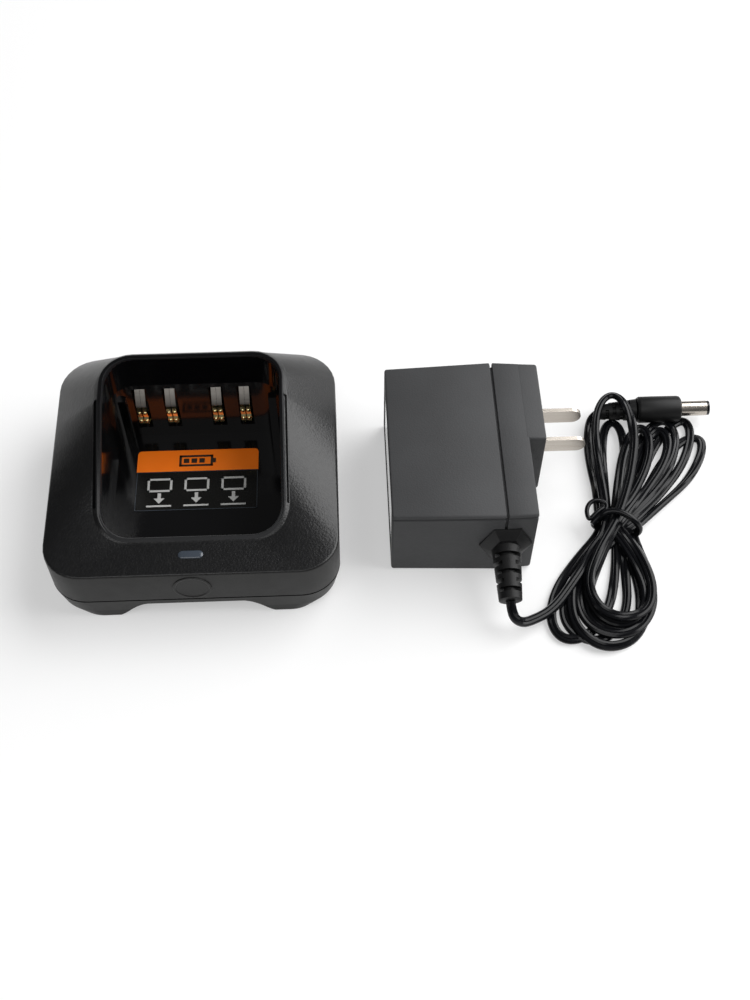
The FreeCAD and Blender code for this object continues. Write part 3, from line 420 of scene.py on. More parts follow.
def revolve(profile, start, direction, steps=48, cut=None):
    """Surface of (along, radius) pairs turned about an axis; cut takes depth off by angle and place along."""
    axis = Vector(direction).normalized()
    side = axis.cross(Vector((0, 0, 1))).normalized()
    up = side.cross(axis)
    vertices = []
    for along, radius in profile:
        for step in range(steps):
            angle = 2 * math.pi * step / steps
            reach = radius - (cut(angle, along) if cut else 0)
            vertices.append(Vector(start) + axis * along + (side * math.cos(angle) + up * math.sin(angle)) * reach)
    return vertices, ring_faces(len(profile), steps)


def prisms(outlines, low, high):
    """Upright prisms on flat outlines."""
    vertices = []
    faces = []
    for outline in outlines:
        first, count = len(vertices), len(outline)
        vertices += [(x, y, low) for x, y in outline] + [(x, y, high) for x, y in outline]
        faces += [(first + i, first + (i + 1) % count, first + count + (i + 1) % count, first + count + i)
                  for i in range(count)]
        faces.append(tuple(range(first + count - 1, first - 1, -1)))
        faces.append(tuple(range(first + count, first + 2 * count)))
    return vertices, faces


def bar(left, front, right, rear):
    return [(left, front), (right, front), (right, rear), (left, rear)]


def frame_bars(left, front, right, rear, width):
    """Four bars that draw a rectangle's outline."""
    return [bar(left, front, right, front + width), bar(left, rear - width, right, rear),
            bar(left, front, left + width, rear), bar(right - width, front, right, rear)]


def stadium(x, y, length, width, steps=12):
    radius, reach = width / 2, (length - width) / 2
    outline = []
    for sign, first in ((1, -90), (-1, 90)):
        for step in range(steps + 1):
            angle = math.radians(first + 180 * step / steps)
            outline.append((x + sign * reach + radius * math.cos(angle), y + radius * math.sin(angle)))
    return outline


def round_wire(points, radius, steps=14):
    """Round tube along the smooth line through those control points."""
    line = curve_line([mm(*point) for point in points]) / MM
    vertices = []
    side = None
    for index, place in enumerate(line):
        ahead = Vector(line[min(index + 1, len(line) - 1)] - line[max(index - 1, 0)]).normalized()
        side = ahead.orthogonal() if side is None else side - ahead * side.dot(ahead)
        side.normalize()
        up = ahead.cross(side)
        for step in range(steps):
            angle = 2 * math.pi * step / steps
            vertices.append(Vector(place) + (side * math.cos(angle) + up * math.sin(angle)) * radius)
    return vertices, ring_faces(len(line), steps)


def join(*shapes):
    """One list of vertices and faces from several."""
    vertices = []
    faces = []
    for more_vertices, more_faces in shapes:
        first = len(vertices)
        vertices += list(more_vertices)
        faces += [tuple(first + index for index in face) for face in more_faces]
    return vertices, faces


# ---------------------------------------------------------------- the cradle's top cover

# Outlines are half width, front, rear and corner radius. The collar's top rises with y over the slope, and then
# a little more over the crest.
CRADLE_X = -43.95
CRADLE_DEPTH = 88.4
EDGE_FRONT, EDGE_RISE = 26.2, 3.8
SLOPE_START, SLOPE_END, SLOPE_LENGTH = -31.5, 12.5, 44.0
SLOPE_FOOT, SLOPE_RISE = 26.4, 19.2
CREST_FOOT, CREST_RISE, CREST_LENGTH = 45.6, 1.8, 19.9
COLLAR_FALL, FALL_LEAST, FALL_LENGTH = 1.4, 0.1, 12.0
SKIN_FOOT, PARTING_HEIGHT = 10.62, 11.1
FRONT_ROWS, DECK_ROWS = 9, 19
OUTLINE = (48.5, -44.2, 44.2, 13.0)
COLLAR = (32.5, -31.5, 32.4, 12.0)
HOLE = (30.9, -30.9, 31.2, 10.5)
GROOVE_SPAN = (-20.2, 13.9)
GROOVE_DEPTH = 0.85
JACK_SHARE = 0.131
JACK_TOP = 18.85

FOOT_REACH = 2.1
FOOT_TOP, FOOT_SPAN = 4.0, 3.5
FOOT_BLEND = (-34.0, 6.0)
FOOT_SEAT = (38.0, -36.0, 4.3)


def edge_height(y):
    return EDGE_FRONT + (y / CRADLE_DEPTH + 0.5) * EDGE_RISE


def collar_height(y):
    if y <= SLOPE_END:
        return SLOPE_FOOT + SLOPE_RISE * max(0.0, (y - SLOPE_START) / SLOPE_LENGTH)
    return CREST_FOOT + CREST_RISE * min(1.0, (y - SLOPE_END) / CREST_LENGTH)


def collar_drop(y):
    return COLLAR_FALL * min(1.0, max(FALL_LEAST, (y - SLOPE_START) / FALL_LENGTH))


def grown(outline, growth):
    half, front, rear, corner = outline
    return (half + growth, front - growth, rear + growth, corner + growth)


def ring_columns():
    """Places round every ring, as (side, stretch, share), from the middle of the front to the right and back."""
    even = [step / 8 for step in range(1, 9)]
    right = [("front", 0.25), ("front", 0.5), ("front", 0.75), ("front", 1.0)]
    right += [("front_corner", share) for share in even]
    right += [("lower_side", share) for share in (0.006, 0.014, 0.2, 0.4, 0.6, 0.8, 1.0)]
    right += [("upper_side", share) for share in (0.17, 0.2, 0.6, 1.0)]
    right += [("rear_corner", share) for share in even]
    right += [("rear", 0.6), ("rear", JACK_SHARE)]
    left = [(-1, stretch, share) for stretch, share in reversed(right)]
    return [(1, "front", 0.0)] + [(1, *place) for place in right] + [(1, "rear", 0.0)] + left


def ring_place(outline, column):
    half, front, rear, corner = outline
    side, stretch, share = column
    turn = math.radians(90 * share)
    if stretch == "front":
        x, y = share * (half - corner), front
    elif stretch == "front_corner":
        x, y = half - corner + corner * math.sin(turn), front + corner - corner * math.cos(turn)
    elif stretch == "lower_side":
        x, y = half, front + corner + share * (SLOPE_END - front - corner)
    elif stretch == "upper_side":
        x, y = half, SLOPE_END + share * (rear - corner - SLOPE_END)
    elif stretch == "rear_corner":
        x, y = half - corner + corner * math.cos(turn), rear - corner + corner * math.sin(turn)
    else:
        x, y = share * (half - corner), rear
    return CRADLE_X + side * x, y


def rounded(points, radii, steps=4):
    """The points, with those that have a radius replaced by a short arc."""
    result = []
    for index, (point, radius) in enumerate(zip(points, radii)):
        if not radius:
            result.append(point)
            continue
        before, after = points[index - 1] - point, points[index + 1] - point
        enter = point + before.normalized() * min(radius, 0.45 * before.length)
        leave = point + after.normalized() * min(radius, 0.45 * after.length)
        for step in range(steps + 1):
            share = step / steps
            result.append(enter * (1 - share) ** 2 + point * 2 * share * (1 - share) + leave * share ** 2)
    return result


def cover_profile(column):
    """Points up the outer wall, over the sloping deck, across the collar's groove and over the pocket's rim."""
    def at(outline, height, drop=0.0):
        x, y = ring_place(outline, column)
        return Vector((x, y, height(y) - drop if callable(height) else height))

    def collar(growth, sunk=0.0):
        share = growth / (COLLAR[0] - HOLE[0])
        x, y = ring_place(grown(HOLE, growth), column)
        return Vector((x, y, collar_height(y) - share * collar_drop(y) - sunk))
    shoulder = at(COLLAR, collar_height)
    shoulder.z -= collar_drop(shoulder.y)
    side_stretch = column[1] in ("lower_side", "upper_side")
    sunk = GROOVE_DEPTH if side_stretch and GROOVE_SPAN[0] < collar(0).y < GROOVE_SPAN[1] else 0.0
    points = [
        at(grown(OUTLINE, -0.6), SKIN_FOOT), at(OUTLINE, PARTING_HEIGHT), at(OUTLINE, JACK_TOP),
        at(OUTLINE, edge_height),
        shoulder, collar(1.42), collar(1.36, sunk), collar(0.36, sunk), collar(0.30),
        at(grown(HOLE, -1.15), collar_height, -0.15), at(grown(HOLE, -1.2), collar_height, 2.4),
    ]
    return rounded(points, [0, 0.25, 0, 0.9, 0.55, 0, 0, 0, 0, 0.8, 0])


def build_top_cover(front, deck, rim):
    columns = ring_columns()
    profiles = [cover_profile(column) for column in columns]
    rows = len(profiles[0])
    vertices = [point for profile in profiles for point in profile]
    faces = []
    picks = []
    for index, column in enumerate(columns):
        after = (index + 1) % len(columns)
        behind_jack = all(place[1] == "rear" and place[2] <= JACK_SHARE for place in (column, columns[after]))
        for row in range(rows - 1):
            if behind_jack and profiles[index][row + 1].z <= JACK_TOP + 0.01:
                continue
            faces.append((index * rows + row, after * rows + row, after * rows + row + 1, index * rows + row + 1))
            picks.append(0 if row < FRONT_ROWS else 1 if row < DECK_ROWS else 2)
    return add_mesh("top_cover_skin", vertices, faces, [front, deck, rim], "cradle", "textured_black", picks)


def build_base(front):
    """The base, with the foot of its front wall brought forward so that the wall stands nearly upright."""
    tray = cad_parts["bottom_cover"]
    vertices = [tray.matrix_world @ vertex.co / MM for vertex in tray.data.vertices]
    for vertex in vertices:
        if math.hypot(abs(vertex.x - CRADLE_X) - FOOT_SEAT[0], vertex.y - FOOT_SEAT[1]) < FOOT_SEAT[2]:
            continue
        nearness = min(1.0, max(0.0, (FOOT_BLEND[0] - vertex.y) / FOOT_BLEND[1]))
        vertex.y -= nearness * FOOT_REACH * max(0.0, FOOT_TOP - vertex.z) / FOOT_SPAN
    faces = [tuple(polygon.vertices) for polygon in tray.data.polygons]
    return add_mesh("base_skin", vertices, faces, [front], "cradle", "base_black")


def build_badge(front):
    profile = [(0.0, 6.4), (0.8, 6.4), (0.98, 6.32), (1.05, 6.1), (1.05, 5.65), (0.98, 5.45), (0.86, 5.35),
               (0.86, 0.01)]
    shape = revolve(profile, (CRADLE_X, -43.5, 18.2), (0, -1, 0))
    return add_mesh("badge_disc", *shape, [front], "cradle", "gloss_black")


def build_lens(glass):
    vertices = []
    for growth, height in ((0.0, 15.0), (0.0, 26.3), (-0.12, 26.45), (-0.4, 26.58), (-1.1, 26.66)):
        outline = stadium(CRADLE_X, -36.5, 8.3 + 2 * growth, 3.0 + 2 * growth)
        vertices += [(x, y, height) for x, y in outline]
    faces = ring_faces(5, len(outline))
    return add_mesh("indicator_dome", vertices, faces, [glass], "cradle", "lens_grey")


LABEL_BOX = (-67.65, -5.5, -24.05, 20.7)
LABEL_FACE = 6.2
HEADER_FRONT = 11.4
HEADER_CORNER = 1.5
PICTOGRAM_MIDDLES = (-59.0, -45.85, -32.7)


def build_label(edge, orange, ink, dark):
    """The pocket's label: an orange header, and pictograms of a pack going down into a charging pocket."""
    left, front, right, rear = LABEL_BOX
    corner = []
    for degrees in range(0, 91, 15):
        angle = math.radians(degrees)
        corner.append((left + HEADER_CORNER - HEADER_CORNER * math.cos(angle),
                       rear - HEADER_CORNER + HEADER_CORNER * math.sin(angle)))
    mirrored = [(left + right - x, y) for x, y in reversed(corner)]
    header = [(left, HEADER_FRONT)] + corner + mirrored + [(right, HEADER_FRONT)]
    add_mesh("label_header", *prisms([header], LABEL_FACE, 6.26), [orange], "cradle", "label_film")
    battery = frame_bars(-52.6, 13.4, -40.4, 18.4, 0.9) + [bar(-40.4, 14.9, -39.4, 16.9)]
    battery += [bar(x, 14.9, x + 2.0, 16.9) for x in (-51.0, -48.2, -45.4)]
    add_mesh("label_battery", *prisms(battery, 6.26, 6.3), [dark], "cradle", "label_film")
    border = frame_bars(left + 0.2, front + 0.2, right - 0.2, 11.3, 0.2)
    add_mesh("label_border", *prisms(border, LABEL_FACE, 6.24), [edge], "cradle", "label_film")
    marks = []
    for middle in PICTOGRAM_MIDDLES:
        marks += frame_bars(middle - 4.4, 2.6, middle + 4.4, 8.4, 0.8)
        marks += [bar(middle - 0.6, -0.2, middle + 0.6, 2.0),
                  [(middle - 1.9, -0.2), (middle, -2.4), (middle + 1.9, -0.2)],
                  bar(middle - 4.4, -3.8, middle + 4.4, -3.1)]
    add_mesh("label_pictograms", *prisms(marks, LABEL_FACE, 6.24), [ink], "cradle", "label_film")


CONTACT_OFFSETS = (-20.4, -9.9, 6.4, 16.3)
CONTACT_WIDTH = 3.5
CONTACT_THICKNESS = 0.4
PRONG_GAP = 0.45
RAMP_SLIT = 0.1
RAMP_LINE = [(30.9, 31.4), (30.4, 30.9), (26.9, 24.9), (26.7, 24.3)]
PRONG_LINE = [(26.75, 24.0), (26.3, 22.6), (26.3, 20.0), (26.9, 19.2), (26.9, 18.6), (26.35, 17.8), (26.35, 16.2),
              (27.0, 14.4), (30.9, 12.4), (30.9, 8.2)]
DOME_Y = 26.4
DOMES = ((21.3, 0.8), (17.0, 0.75))


def side_prism(outline, left, right):
    """Solid between two upright planes on an outline given as (y, z)."""
    count = len(outline)
    vertices = [(x, y, z) for x in (left, right) for y, z in outline]
    faces = [(i, (i + 1) % count, count + (i + 1) % count, count + i) for i in range(count)]
    return vertices, faces + [tuple(range(count)), tuple(range(2 * count - 1, count - 1, -1))]


def strip_outline(line):
    """Bent strip: a line of (y, z) from the top down, and the same line set back."""
    return line + [(y + CONTACT_THICKNESS, z) for y, z in reversed(line)]


def build_contacts(bare, gold):
    """Sprung contacts: a bare ramp above, and two gold prongs below with pressed domes."""
    half = CONTACT_WIDTH / 2
    for number, offset in enumerate(CONTACT_OFFSETS, start=1):
        middle = CRADLE_X + offset
        plates = [side_prism(strip_outline(RAMP_LINE), middle - half, middle - RAMP_SLIT / 2),
                  side_prism(strip_outline(RAMP_LINE), middle + RAMP_SLIT / 2, middle + half)]
        prongs = []
        for side in (-1, 1):
            edges = sorted((middle + side * PRONG_GAP / 2, middle + side * half))
            prongs.append(side_prism(strip_outline(PRONG_LINE), *edges))
            for height, radius in DOMES:
                profile = [(-CONTACT_THICKNESS, radius), (0.0, radius), (0.3, radius * 0.8), (0.5, radius * 0.45),
                           (0.55, 0.02)]
                centre = (middle + side * (half + PRONG_GAP / 2) / 2, DOME_Y, height)
                prongs.append(revolve(profile, centre, (0, -1, 0), 20))
        body = f"battery_contact_{number}_body"
        ramps = add_mesh(f"contact_{number}_ramp", *join(*plates), [bare], body, "gold_contact")
        add_mesh(f"contact_{number}_prongs", *join(*prongs), [gold], body, "gold_contact")
        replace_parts(ramps, f"battery_contact_{number}")


# ---------------------------------------------------------------- the power supply

# Stations are (x, inset); ends are (x, half width, height).
ADAPTER_Y = 2.65
ADAPTER_SEAM_HEIGHT = 33.2
CASE_EDGE, CASE_LIP = 0.9, 0.7
PANEL_STATIONS = ((22.55, 0.1), (22.12, 0.0), (22.05, -0.12))
PANEL_HALF, PANEL_LOW, PANEL_HIGH, PANEL_EDGE = 26.5, 3.1, 30.1, 1.2
CASE_STATIONS = ((22.05, 0.75), (22.13, 0.4), (22.35, 0.14), (22.75, 0.0), (59.05, 0.0), (59.28, 0.08), (59.4, 0.3),
                 (59.4, 1.1), (60.3, 1.1))
CASE_ENDS = (22.05, 31.55, 32.3), (59.4, 32.85, 33.2)
CAP_STATIONS = ((60.2, 1.1), (60.2, 0.3), (60.32, 0.08), (60.55, 0.0), (69.5, 0.0), (70.0, 0.15), (70.22, 0.45),
                (70.3, 0.85))
CAP_ENDS = (60.2, 32.85, 33.2), (70.3, 32.3, 32.4)
BOSS_STATIONS = ((69.6, 0.0), (75.4, 0.0), (75.95, 0.2), (76.14, 0.5), (76.2, 0.9))
BOSS_Y, BOSS_HALF, BOSS_LOW, BOSS_TOP, BOSS_FALL = 18.25, 16.65, 2.4, 32.85, 0.08


def case_ring(x, middle, half, low, high, edge, lip=0.0):
    """Rounded rectangle across the power supply; lip is the depth of the line below its upper edges."""
    points = []
    for y_side, z_side, first in ((1, 1, 0), (-1, 1, 90), (-1, -1, 180), (1, -1, 270)):
        centre_y = middle + y_side * (half - edge)
        centre_z = high - edge if z_side > 0 else low + edge
        for step in range(5):
            angle = math.radians(first + 22.5 * step)
            points.append((x, centre_y + edge * math.cos(angle), centre_z + edge * math.sin(angle)))
        if first in (90, 270):
            drops = [(1.3, 0.0), (1.36, lip), (1.9, lip), (2.5, 0.0)]
            if first == 270:
                drops.reverse()
            points += [(x, middle + y_side * (half - depth), high - drop) for drop, depth in drops]
    return points


def case_stations(stations, start, end):
    """Rings at (x, inset) stations, between two ends given as (x, half, height)."""
    rings = []
    for x, inset in stations:
        share = (x - start[0]) / (end[0] - start[0])
        half = start[1] + share * (end[1] - start[1]) - inset
        height = start[2] + share * (end[2] - start[2])
        low = (ADAPTER_SEAM_HEIGHT - height) / 2
        rings.append(case_ring(x, ADAPTER_Y, half, low + inset, low + height - inset, CASE_EDGE,
                               CASE_LIP))
    return rings


def build_adapter(plastic):
    panel = [case_ring(x, ADAPTER_Y, PANEL_HALF - inset, PANEL_LOW + inset, PANEL_HIGH - inset, PANEL_EDGE)
             for x, inset in PANEL_STATIONS]
    rings = panel + case_stations(CASE_STATIONS, *CASE_ENDS)
    vertices = [point for ring in rings for point in ring]
    case = add_mesh("adapter_case_skin", vertices, ring_faces(len(rings), len(rings[0])), [plastic], CORD_BODY,
                    "adapter_black")
    rings = case_stations(CAP_STATIONS, *CAP_ENDS)
    shell = [point for ring in rings for point in ring], ring_faces(len(rings), len(rings[0]))
    boss_rings = []
    for x, inset in BOSS_STATIONS:
        top = BOSS_TOP - BOSS_FALL * (x - BOSS_STATIONS[0][0])
        boss_rings.append(case_ring(x, BOSS_Y, BOSS_HALF - inset, BOSS_LOW + inset, top - inset, CASE_EDGE))
    boss = [point for ring in boss_rings for point in ring], ring_faces(len(boss_rings), len(boss_rings[0]))
    cap = add_mesh("adapter_cap_skin", *join(shell, boss), [plastic], CORD_BODY, "adapter_black")
    return case, cap


def slotted(starts, width, depth, bridge):
    """Cut for a strain relief: slots across it, each bridged on two sides, turned a quarter from the next."""
    def cut(angle, along):
        for number, start in enumerate(starts):
            if start < along < start + width:
                turned = angle - math.pi / 2 * (number % 2)
                return 0.0 if abs(math.cos(turned)) > math.cos(math.radians(bridge)) else depth
        return 0.0
    return cut


def relief_profile(length, root, tip, starts, width):
    """Tapering profile with points just inside and outside each slot's edges."""
    places = [0.0]
    for start in starts:
        places += [start, start + 0.1, start + width - 0.1, start + width]
    places += [length - 0.7, length - 0.2]
    profile = [(along, root + (tip - root) * along / length) for along in places]
    return profile + [(length, tip - 0.5), (length, tip * 0.45)]


SLOT_BRIDGE = 32
BOOT_X, BOOT_Y, BOOT_Z = 60.4, -30.2, 16.6
BOOT_TILT = 11
BOOT_SLOTS = (3.0, 6.0, 9.0, 12.0, 15.0)
BOOT_SLOT_WIDTH = 1.5
HEXAGON = ((1.0, 0.0), (0.5, 1.0), (-0.5, 1.0), (-1.0, 0.0), (-0.5, -1.0), (0.5, -1.0))
# Each ring of the hexagonal plinth: how far it stands out, half width and half height
PLINTH_RINGS = ((-0.4, 9.0, 9.0), (0.25, 9.0, 9.0), (0.5, 8.75, 8.8), (2.35, 5.7, 6.3), (2.6, 5.3, 5.95))


def build_boot(rubber):
    vertices = []
    for stand, wide, tall in PLINTH_RINGS:
        vertices += [(BOOT_X + x * wide, BOOT_Y - stand, BOOT_Z + z * tall) for x, z in HEXAGON]
    plinth = vertices, ring_faces(len(PLINTH_RINGS), len(HEXAGON))
    tilt = math.radians(BOOT_TILT)
    cone = revolve(relief_profile(19.0, 5.0, 3.9, BOOT_SLOTS, BOOT_SLOT_WIDTH), (BOOT_X, -31.6, BOOT_Z),
                   (0, -math.cos(tilt), -math.sin(tilt)), 64, slotted(BOOT_SLOTS, BOOT_SLOT_WIDTH, 1.7, SLOT_BRIDGE))
    return add_mesh("boot", *join(plinth, cone), [rubber], CORD_BODY, "cord_jacket")


PLUG_SLOTS = (2.2, 4.8, 7.4, 10.0)
PLUG_SLOT_WIDTH = 1.3
GRIP_PROFILE = ((0.0, 3.9), (0.12, 4.3), (0.9, 4.82), (1.1, 4.9), (8.0, 4.9), (15.2, 4.84), (15.9, 4.6), (16.3, 4.1),
                (16.4, 3.6))


def build_plug(rubber):
    cone = revolve(relief_profile(13.6, 4.1, 2.9, PLUG_SLOTS, PLUG_SLOT_WIDTH), RELIEF_THICK_END, (-1, 0.06, -0.12),
                   64, slotted(PLUG_SLOTS, PLUG_SLOT_WIDTH, 1.3, SLOT_BRIDGE))
    relief = add_mesh("plug_relief_slotted", *cone, [rubber], CORD_BODY, "cord_jacket")
    shape = revolve(GRIP_PROFILE, RELIEF_THICK_END, (1, 0, 0))
    grip = add_mesh("plug_grip", *shape, [rubber], CORD_BODY, "cord_jacket")
    return relief, grip


TIE_BAND = ((95.3, -14.9, 7.0), (96.3, -14.6, 8.8), (98.3, -13.9, 9.9), (101.7, -14.5, 10.6), (104.6, -16.1, 10.4),
            (107.5, -18.1, 9.2), (109.6, -18.8, 5.6), (109.0, -18.8, 1.8), (106.0, -17.6, 1.25), (100.0, -15.6, 1.25),
            (95.4, -15.0, 1.4), (93.8, -15.0, 3.4), (94.4, -15.0, 5.8), (96.0, -14.6, 8.0))
TIE_BOW = ((96.0, -14.4, 7.8), (98.2, -12.0, 8.6), (98.3, -10.0, 9.0), (96.6, -9.1, 9.2), (94.5, -8.8, 9.4),
           (92.4, -9.8, 9.2), (91.2, -11.9, 8.8), (91.1, -14.3, 8.2), (91.8, -15.9, 7.8), (93.4, -14.4, 8.2),
           (95.4, -12.7, 8.6), (97.2, -11.6, 8.6))
TIE_TAIL = ((97.4, -13.6, 8.8), (95.5, -14.6, 8.4), (93.8, -15.9, 7.6), (92.6, -17.0, 6.8))
BAND_RADIUS, BOW_RADIUS, TAIL_RADIUS = 1.15, 0.8, 0.9


def build_tie(jacket):
    """A thin tie drawn tight round the hank, with a bow and a short tail."""
    wires = [round_wire(TIE_BAND, BAND_RADIUS), round_wire(TIE_BOW, BOW_RADIUS), round_wire(TIE_TAIL, TAIL_RADIUS)]
    return add_mesh("tie_wire", *join(*wires), [jacket], CORD_BODY, "tie_jacket")


# ---------------------------------------------------------------- materials

RAMP_RANGE = (0.3, 0.7)


class Recipe:
    """One node-based material, built up from its Principled shader."""

    def __init__(self, name, colour, roughness, metallic=0.0, specular=0.5):
        self.material = bpy.data.materials.new(name)
        self.material.use_nodes = True
        self.nodes = self.material.node_tree.nodes
        self.links = self.material.node_tree.links
        self.shader = self.nodes["Principled BSDF"]
        self.shader.inputs["Base Color"].default_value = (*colour, 1)
        self.shader.inputs["Roughness"].default_value = roughness
        self.shader.inputs["Metallic"].default_value = metallic
        self.shader.inputs["Specular IOR Level"].default_value = specular
        self.place = self.add("ShaderNodeTexCoord").outputs["Object"]
        self.height = None

    def add(self, kind, **values):
        node = self.nodes.new(kind)
        for key, value in values.items():
            setattr(node, key, value)
        return node

    def noise(self, size, detail=3.0, stretch=(1, 1, 1)):
        """Cloudy pattern whose features are about size metres across."""
        mapping = self.add("ShaderNodeMapping")
        mapping.inputs["Scale"].default_value = tuple(share / size for share in stretch)
        self.links.new(self.place, mapping.inputs["Vector"])
        noise = self.add("ShaderNodeTexNoise")
        noise.inputs["Scale"].default_value = 1.0
        noise.inputs["Detail"].default_value = detail
        self.links.new(mapping.outputs["Vector"], noise.inputs["Vector"])
        return noise.outputs["Fac"]

    def cells(self, size):
        """Pebbled pattern with cells about size metres across."""
        voronoi = self.add("ShaderNodeTexVoronoi", feature="SMOOTH_F1")
        voronoi.inputs["Scale"].default_value = 1 / size
        voronoi.inputs["Smoothness"].default_value = 0.6
        self.links.new(self.place, voronoi.inputs["Vector"])
        return voronoi.outputs["Distance"]

    def ramp(self, source, dark, light):
        """Turns the middle range of a pattern into a value or a colour between dark and light."""
        ramp = self.add("ShaderNodeValToRGB")
        ramp.color_ramp.elements[0].position = RAMP_RANGE[0]
        ramp.color_ramp.elements[1].position = RAMP_RANGE[1]
        ramp.color_ramp.elements[0].color = as_colour(dark)
        ramp.color_ramp.elements[1].color = as_colour(light)
        self.links.new(source, ramp.inputs["Fac"])
        return ramp.outputs["Color"]

    def tint(self, source, dark, light):
        self.links.new(self.ramp(source, dark, light), self.shader.inputs["Base Color"])

    def gloss(self, source, smoother, rougher):
        self.links.new(self.ramp(source, smoother, rougher), self.shader.inputs["Roughness"])

    def bump(self, source, depth):
        """Adds relief, in metres, on top of any relief that is already there."""
        bump = self.add("ShaderNodeBump")
        bump.inputs["Strength"].default_value = 1.0
        bump.inputs["Distance"].default_value = depth
        self.links.new(source, bump.inputs["Height"])
        if self.height is not None:
            self.links.new(self.height, bump.inputs["Normal"])
        self.height = bump.outputs["Normal"]
        self.links.new(self.height, self.shader.inputs["Normal"])

    def coat(self, weight, roughness):
        self.shader.inputs["Coat Weight"].default_value = weight
        self.shader.inputs["Coat Roughness"].default_value = roughness


def as_colour(value):
    return (value, value, value, 1) if isinstance(value, (int, float)) else (*value, 1)


def grained_plastic(name, colour, lighter, roughness, cell, depth, specular=0.5):
    """Moulded plastic with a leather grain and slight cloudiness."""
    recipe = Recipe(name, colour, roughness, specular=specular)
    recipe.tint(recipe.noise(0.03), colour, lighter)
    recipe.gloss(recipe.noise(0.002), roughness - 0.02, roughness + 0.03)
    recipe.bump(recipe.cells(cell), depth)
    recipe.bump(recipe.noise(cell * 0.45, 2.0), depth * 0.5)
    return recipe.material


def smooth_plastic(name, colour, lighter, roughness, coat=0.0, specular=0.5):
    """Polished or lightly spark-eroded plastic, with faint handling marks."""
    recipe = Recipe(name, colour, roughness, specular=specular)
    recipe.tint(recipe.noise(0.02), colour, lighter)
    recipe.gloss(recipe.noise(0.006, 3.0, (1, 2, 1)), roughness * 0.94, roughness * 1.08)
    recipe.bump(recipe.noise(0.0004, 2.0), 0.000006)
    if coat:
        recipe.coat(coat, 0.08)
    return recipe.material


def brushed_metal(name, colour, lighter, roughness):
    recipe = Recipe(name, colour, roughness, metallic=1.0)
    recipe.tint(recipe.noise(0.002, 4.0, (0.1, 1, 3)), colour, lighter)
    recipe.gloss(recipe.noise(0.0012, 4.0, (0.2, 1, 4)), roughness * 0.9, roughness * 1.2)
    recipe.bump(recipe.noise(0.0005, 3.0, (0.1, 1, 3)), 0.0000004)
    return recipe.material


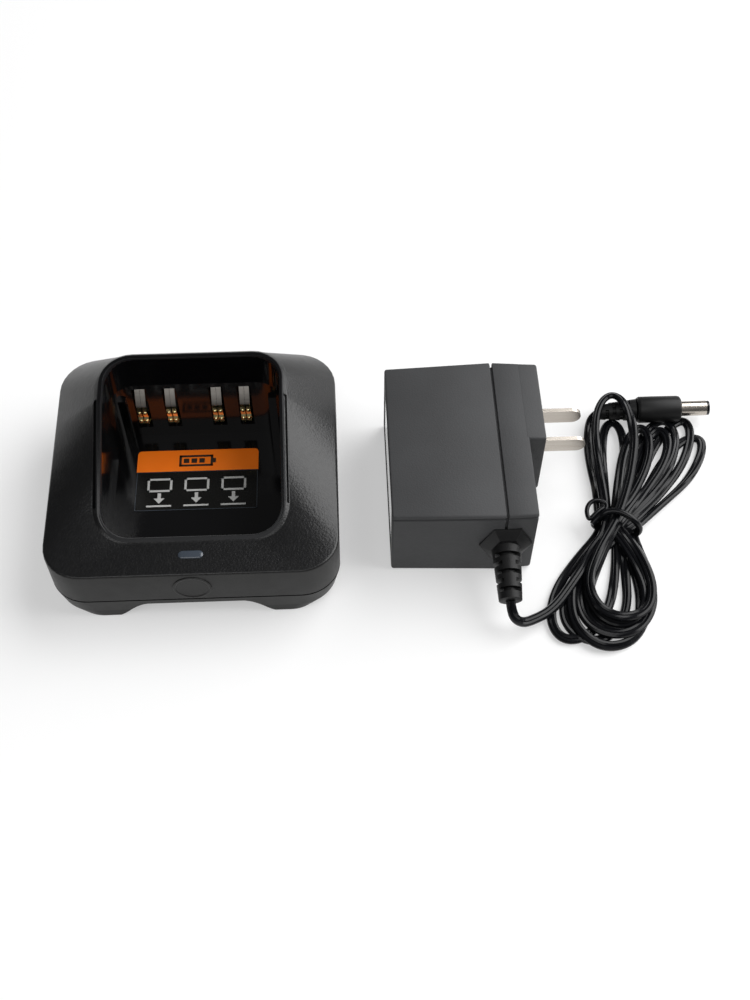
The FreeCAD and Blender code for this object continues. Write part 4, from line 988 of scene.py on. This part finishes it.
def build_materials():
    return {
        "deck": grained_plastic("deck_grain", (0.003, 0.0031, 0.0034), (0.004, 0.0041, 0.0045), 0.34, 0.00075,
                                0.00005, 0.4),
        "front": smooth_plastic("front_satin", (0.006, 0.006, 0.0056), (0.008, 0.008, 0.0075), 0.42, 0.0, 0.28),
        "rim": smooth_plastic("rim_satin", (0.006, 0.0062, 0.007), (0.008, 0.0083, 0.0095), 0.5, 0.0, 0.25),
        "gloss": smooth_plastic("gloss_black", (0.002, 0.002, 0.0024), (0.003, 0.003, 0.0035), 0.12, 0.0, 0.4),
        "rubber": smooth_plastic("rubber", (0.005, 0.005, 0.0052), (0.008, 0.008, 0.0083), 0.45, 0.0, 0.22),
        "adapter": grained_plastic("adapter_matte", (0.05, 0.0505, 0.052), (0.06, 0.061, 0.063), 0.5, 0.0006,
                                   0.00003, 0.12),
        "steel": brushed_metal("zinc_steel", (0.55, 0.55, 0.56), (0.68, 0.68, 0.69), 0.35),
        "nickel": brushed_metal("nickel", (0.45, 0.41, 0.365), (0.52, 0.48, 0.43), 0.22),
        "tin": brushed_metal("contact_tin", (0.88, 0.82, 0.74), (0.96, 0.91, 0.84), 0.36),
        "gold": brushed_metal("gold_plating", (1.0, 0.78, 0.36), (1.0, 0.86, 0.46), 0.2),
        "jacket": smooth_plastic("cord_jacket", (0.003, 0.0032, 0.004), (0.005, 0.0053, 0.0065), 0.2, 0.0, 0.2),
        "film": smooth_plastic("label_dark_film", (0.005, 0.005, 0.0046), (0.0065, 0.0064, 0.006), 0.26, 0.0, 0.25),
        "orange": smooth_plastic("label_orange", (0.9, 0.17, 0.004), (0.97, 0.2, 0.006), 0.4),
        "ink": smooth_plastic("label_pale_ink", (0.42, 0.42, 0.41), (0.5, 0.5, 0.49), 0.5),
        "dark_ink": smooth_plastic("label_dark_ink", (0.012, 0.008, 0.004), (0.018, 0.012, 0.006), 0.5),
        "lens": smooth_plastic("lens_smoke", (0.03, 0.038, 0.05), (0.04, 0.05, 0.065), 0.25, 0.2),
        "board": smooth_plastic("circuit_board", (0.01, 0.06, 0.025), (0.015, 0.08, 0.035), 0.35, 0.3),
        "ferrite": smooth_plastic("ferrite", (0.03, 0.03, 0.032), (0.05, 0.05, 0.052), 0.7),
        "winding": smooth_plastic("winding_tape", (0.65, 0.42, 0.05), (0.75, 0.5, 0.08), 0.35),
        "plate": smooth_plastic("end_plate_film", (0.012, 0.012, 0.012), (0.016, 0.016, 0.016), 0.08, 0.6),
        "ceramic": smooth_plastic("fuse_ceramic", (0.6, 0.58, 0.53), (0.7, 0.68, 0.63), 0.4),
    }


FINISHES = {
    "pocket_insert": "gloss", "rubber_feet": "rubber", "case_screws": "steel", "rating_plate": "film",
    "led_board": "board", "indicator_led": "ceramic", "indicator_wires": "jacket", "pocket_label": "film",
    "contact_carrier": "gloss", "main_board": "board", "board_screws": "steel", "controller_chip": "ferrite",
    "power_inductor": "ferrite", "filter_capacitors": "steel", "power_diodes": "ferrite", "dc_jack_housing": "gloss",
    "jack_centre_pin": "nickel", "jack_side_spring": "nickel", "live_blade": "nickel", "neutral_blade": "nickel",
    "blade_carrier": "rubber", "adapter_board": "board", "transformer_core": "ferrite",
    "transformer_winding": "winding", "input_capacitor": "steel", "output_capacitor": "steel",
    "input_fuse": "ceramic", "switching_transistor": "steel", "adapter_label": "plate", "plug_barrel": "nickel",
    "plug_insulator": "gloss",
}


def finish_nodes(paint):
    for node, finish in FINISHES.items():
        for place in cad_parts[node].material_slots:
            place.material = paint[finish]


build_camera()
build_studio()
paint = build_materials()
finish_nodes(paint)

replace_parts(build_top_cover(paint["front"], paint["deck"], paint["rim"]), "top_cover")
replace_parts(build_base(paint["front"]), "bottom_cover")
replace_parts(build_badge(paint["front"]), "front_badge")
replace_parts(build_lens(paint["lens"]), "indicator_lens")
build_label(paint["lens"], paint["orange"], paint["ink"], paint["dark_ink"])
build_contacts(paint["tin"], paint["gold"])
case, cap = build_adapter(paint["adapter"])
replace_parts(case, "adapter_case")
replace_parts(cap, "adapter_cap")
boot = build_boot(paint["rubber"])
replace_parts(boot, "strain_relief")
relief, grip = build_plug(paint["rubber"])
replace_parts(relief, "plug_strain_relief")
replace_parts(grip, "plug_body")
tie = build_tie(paint["jacket"])
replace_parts(tie, "cord_tie")

lead, lead_line, lead_length = build_cord(paint["jacket"])
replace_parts(lead, "cord_lead", "cord_hank_upper", "cord_hank_lower")
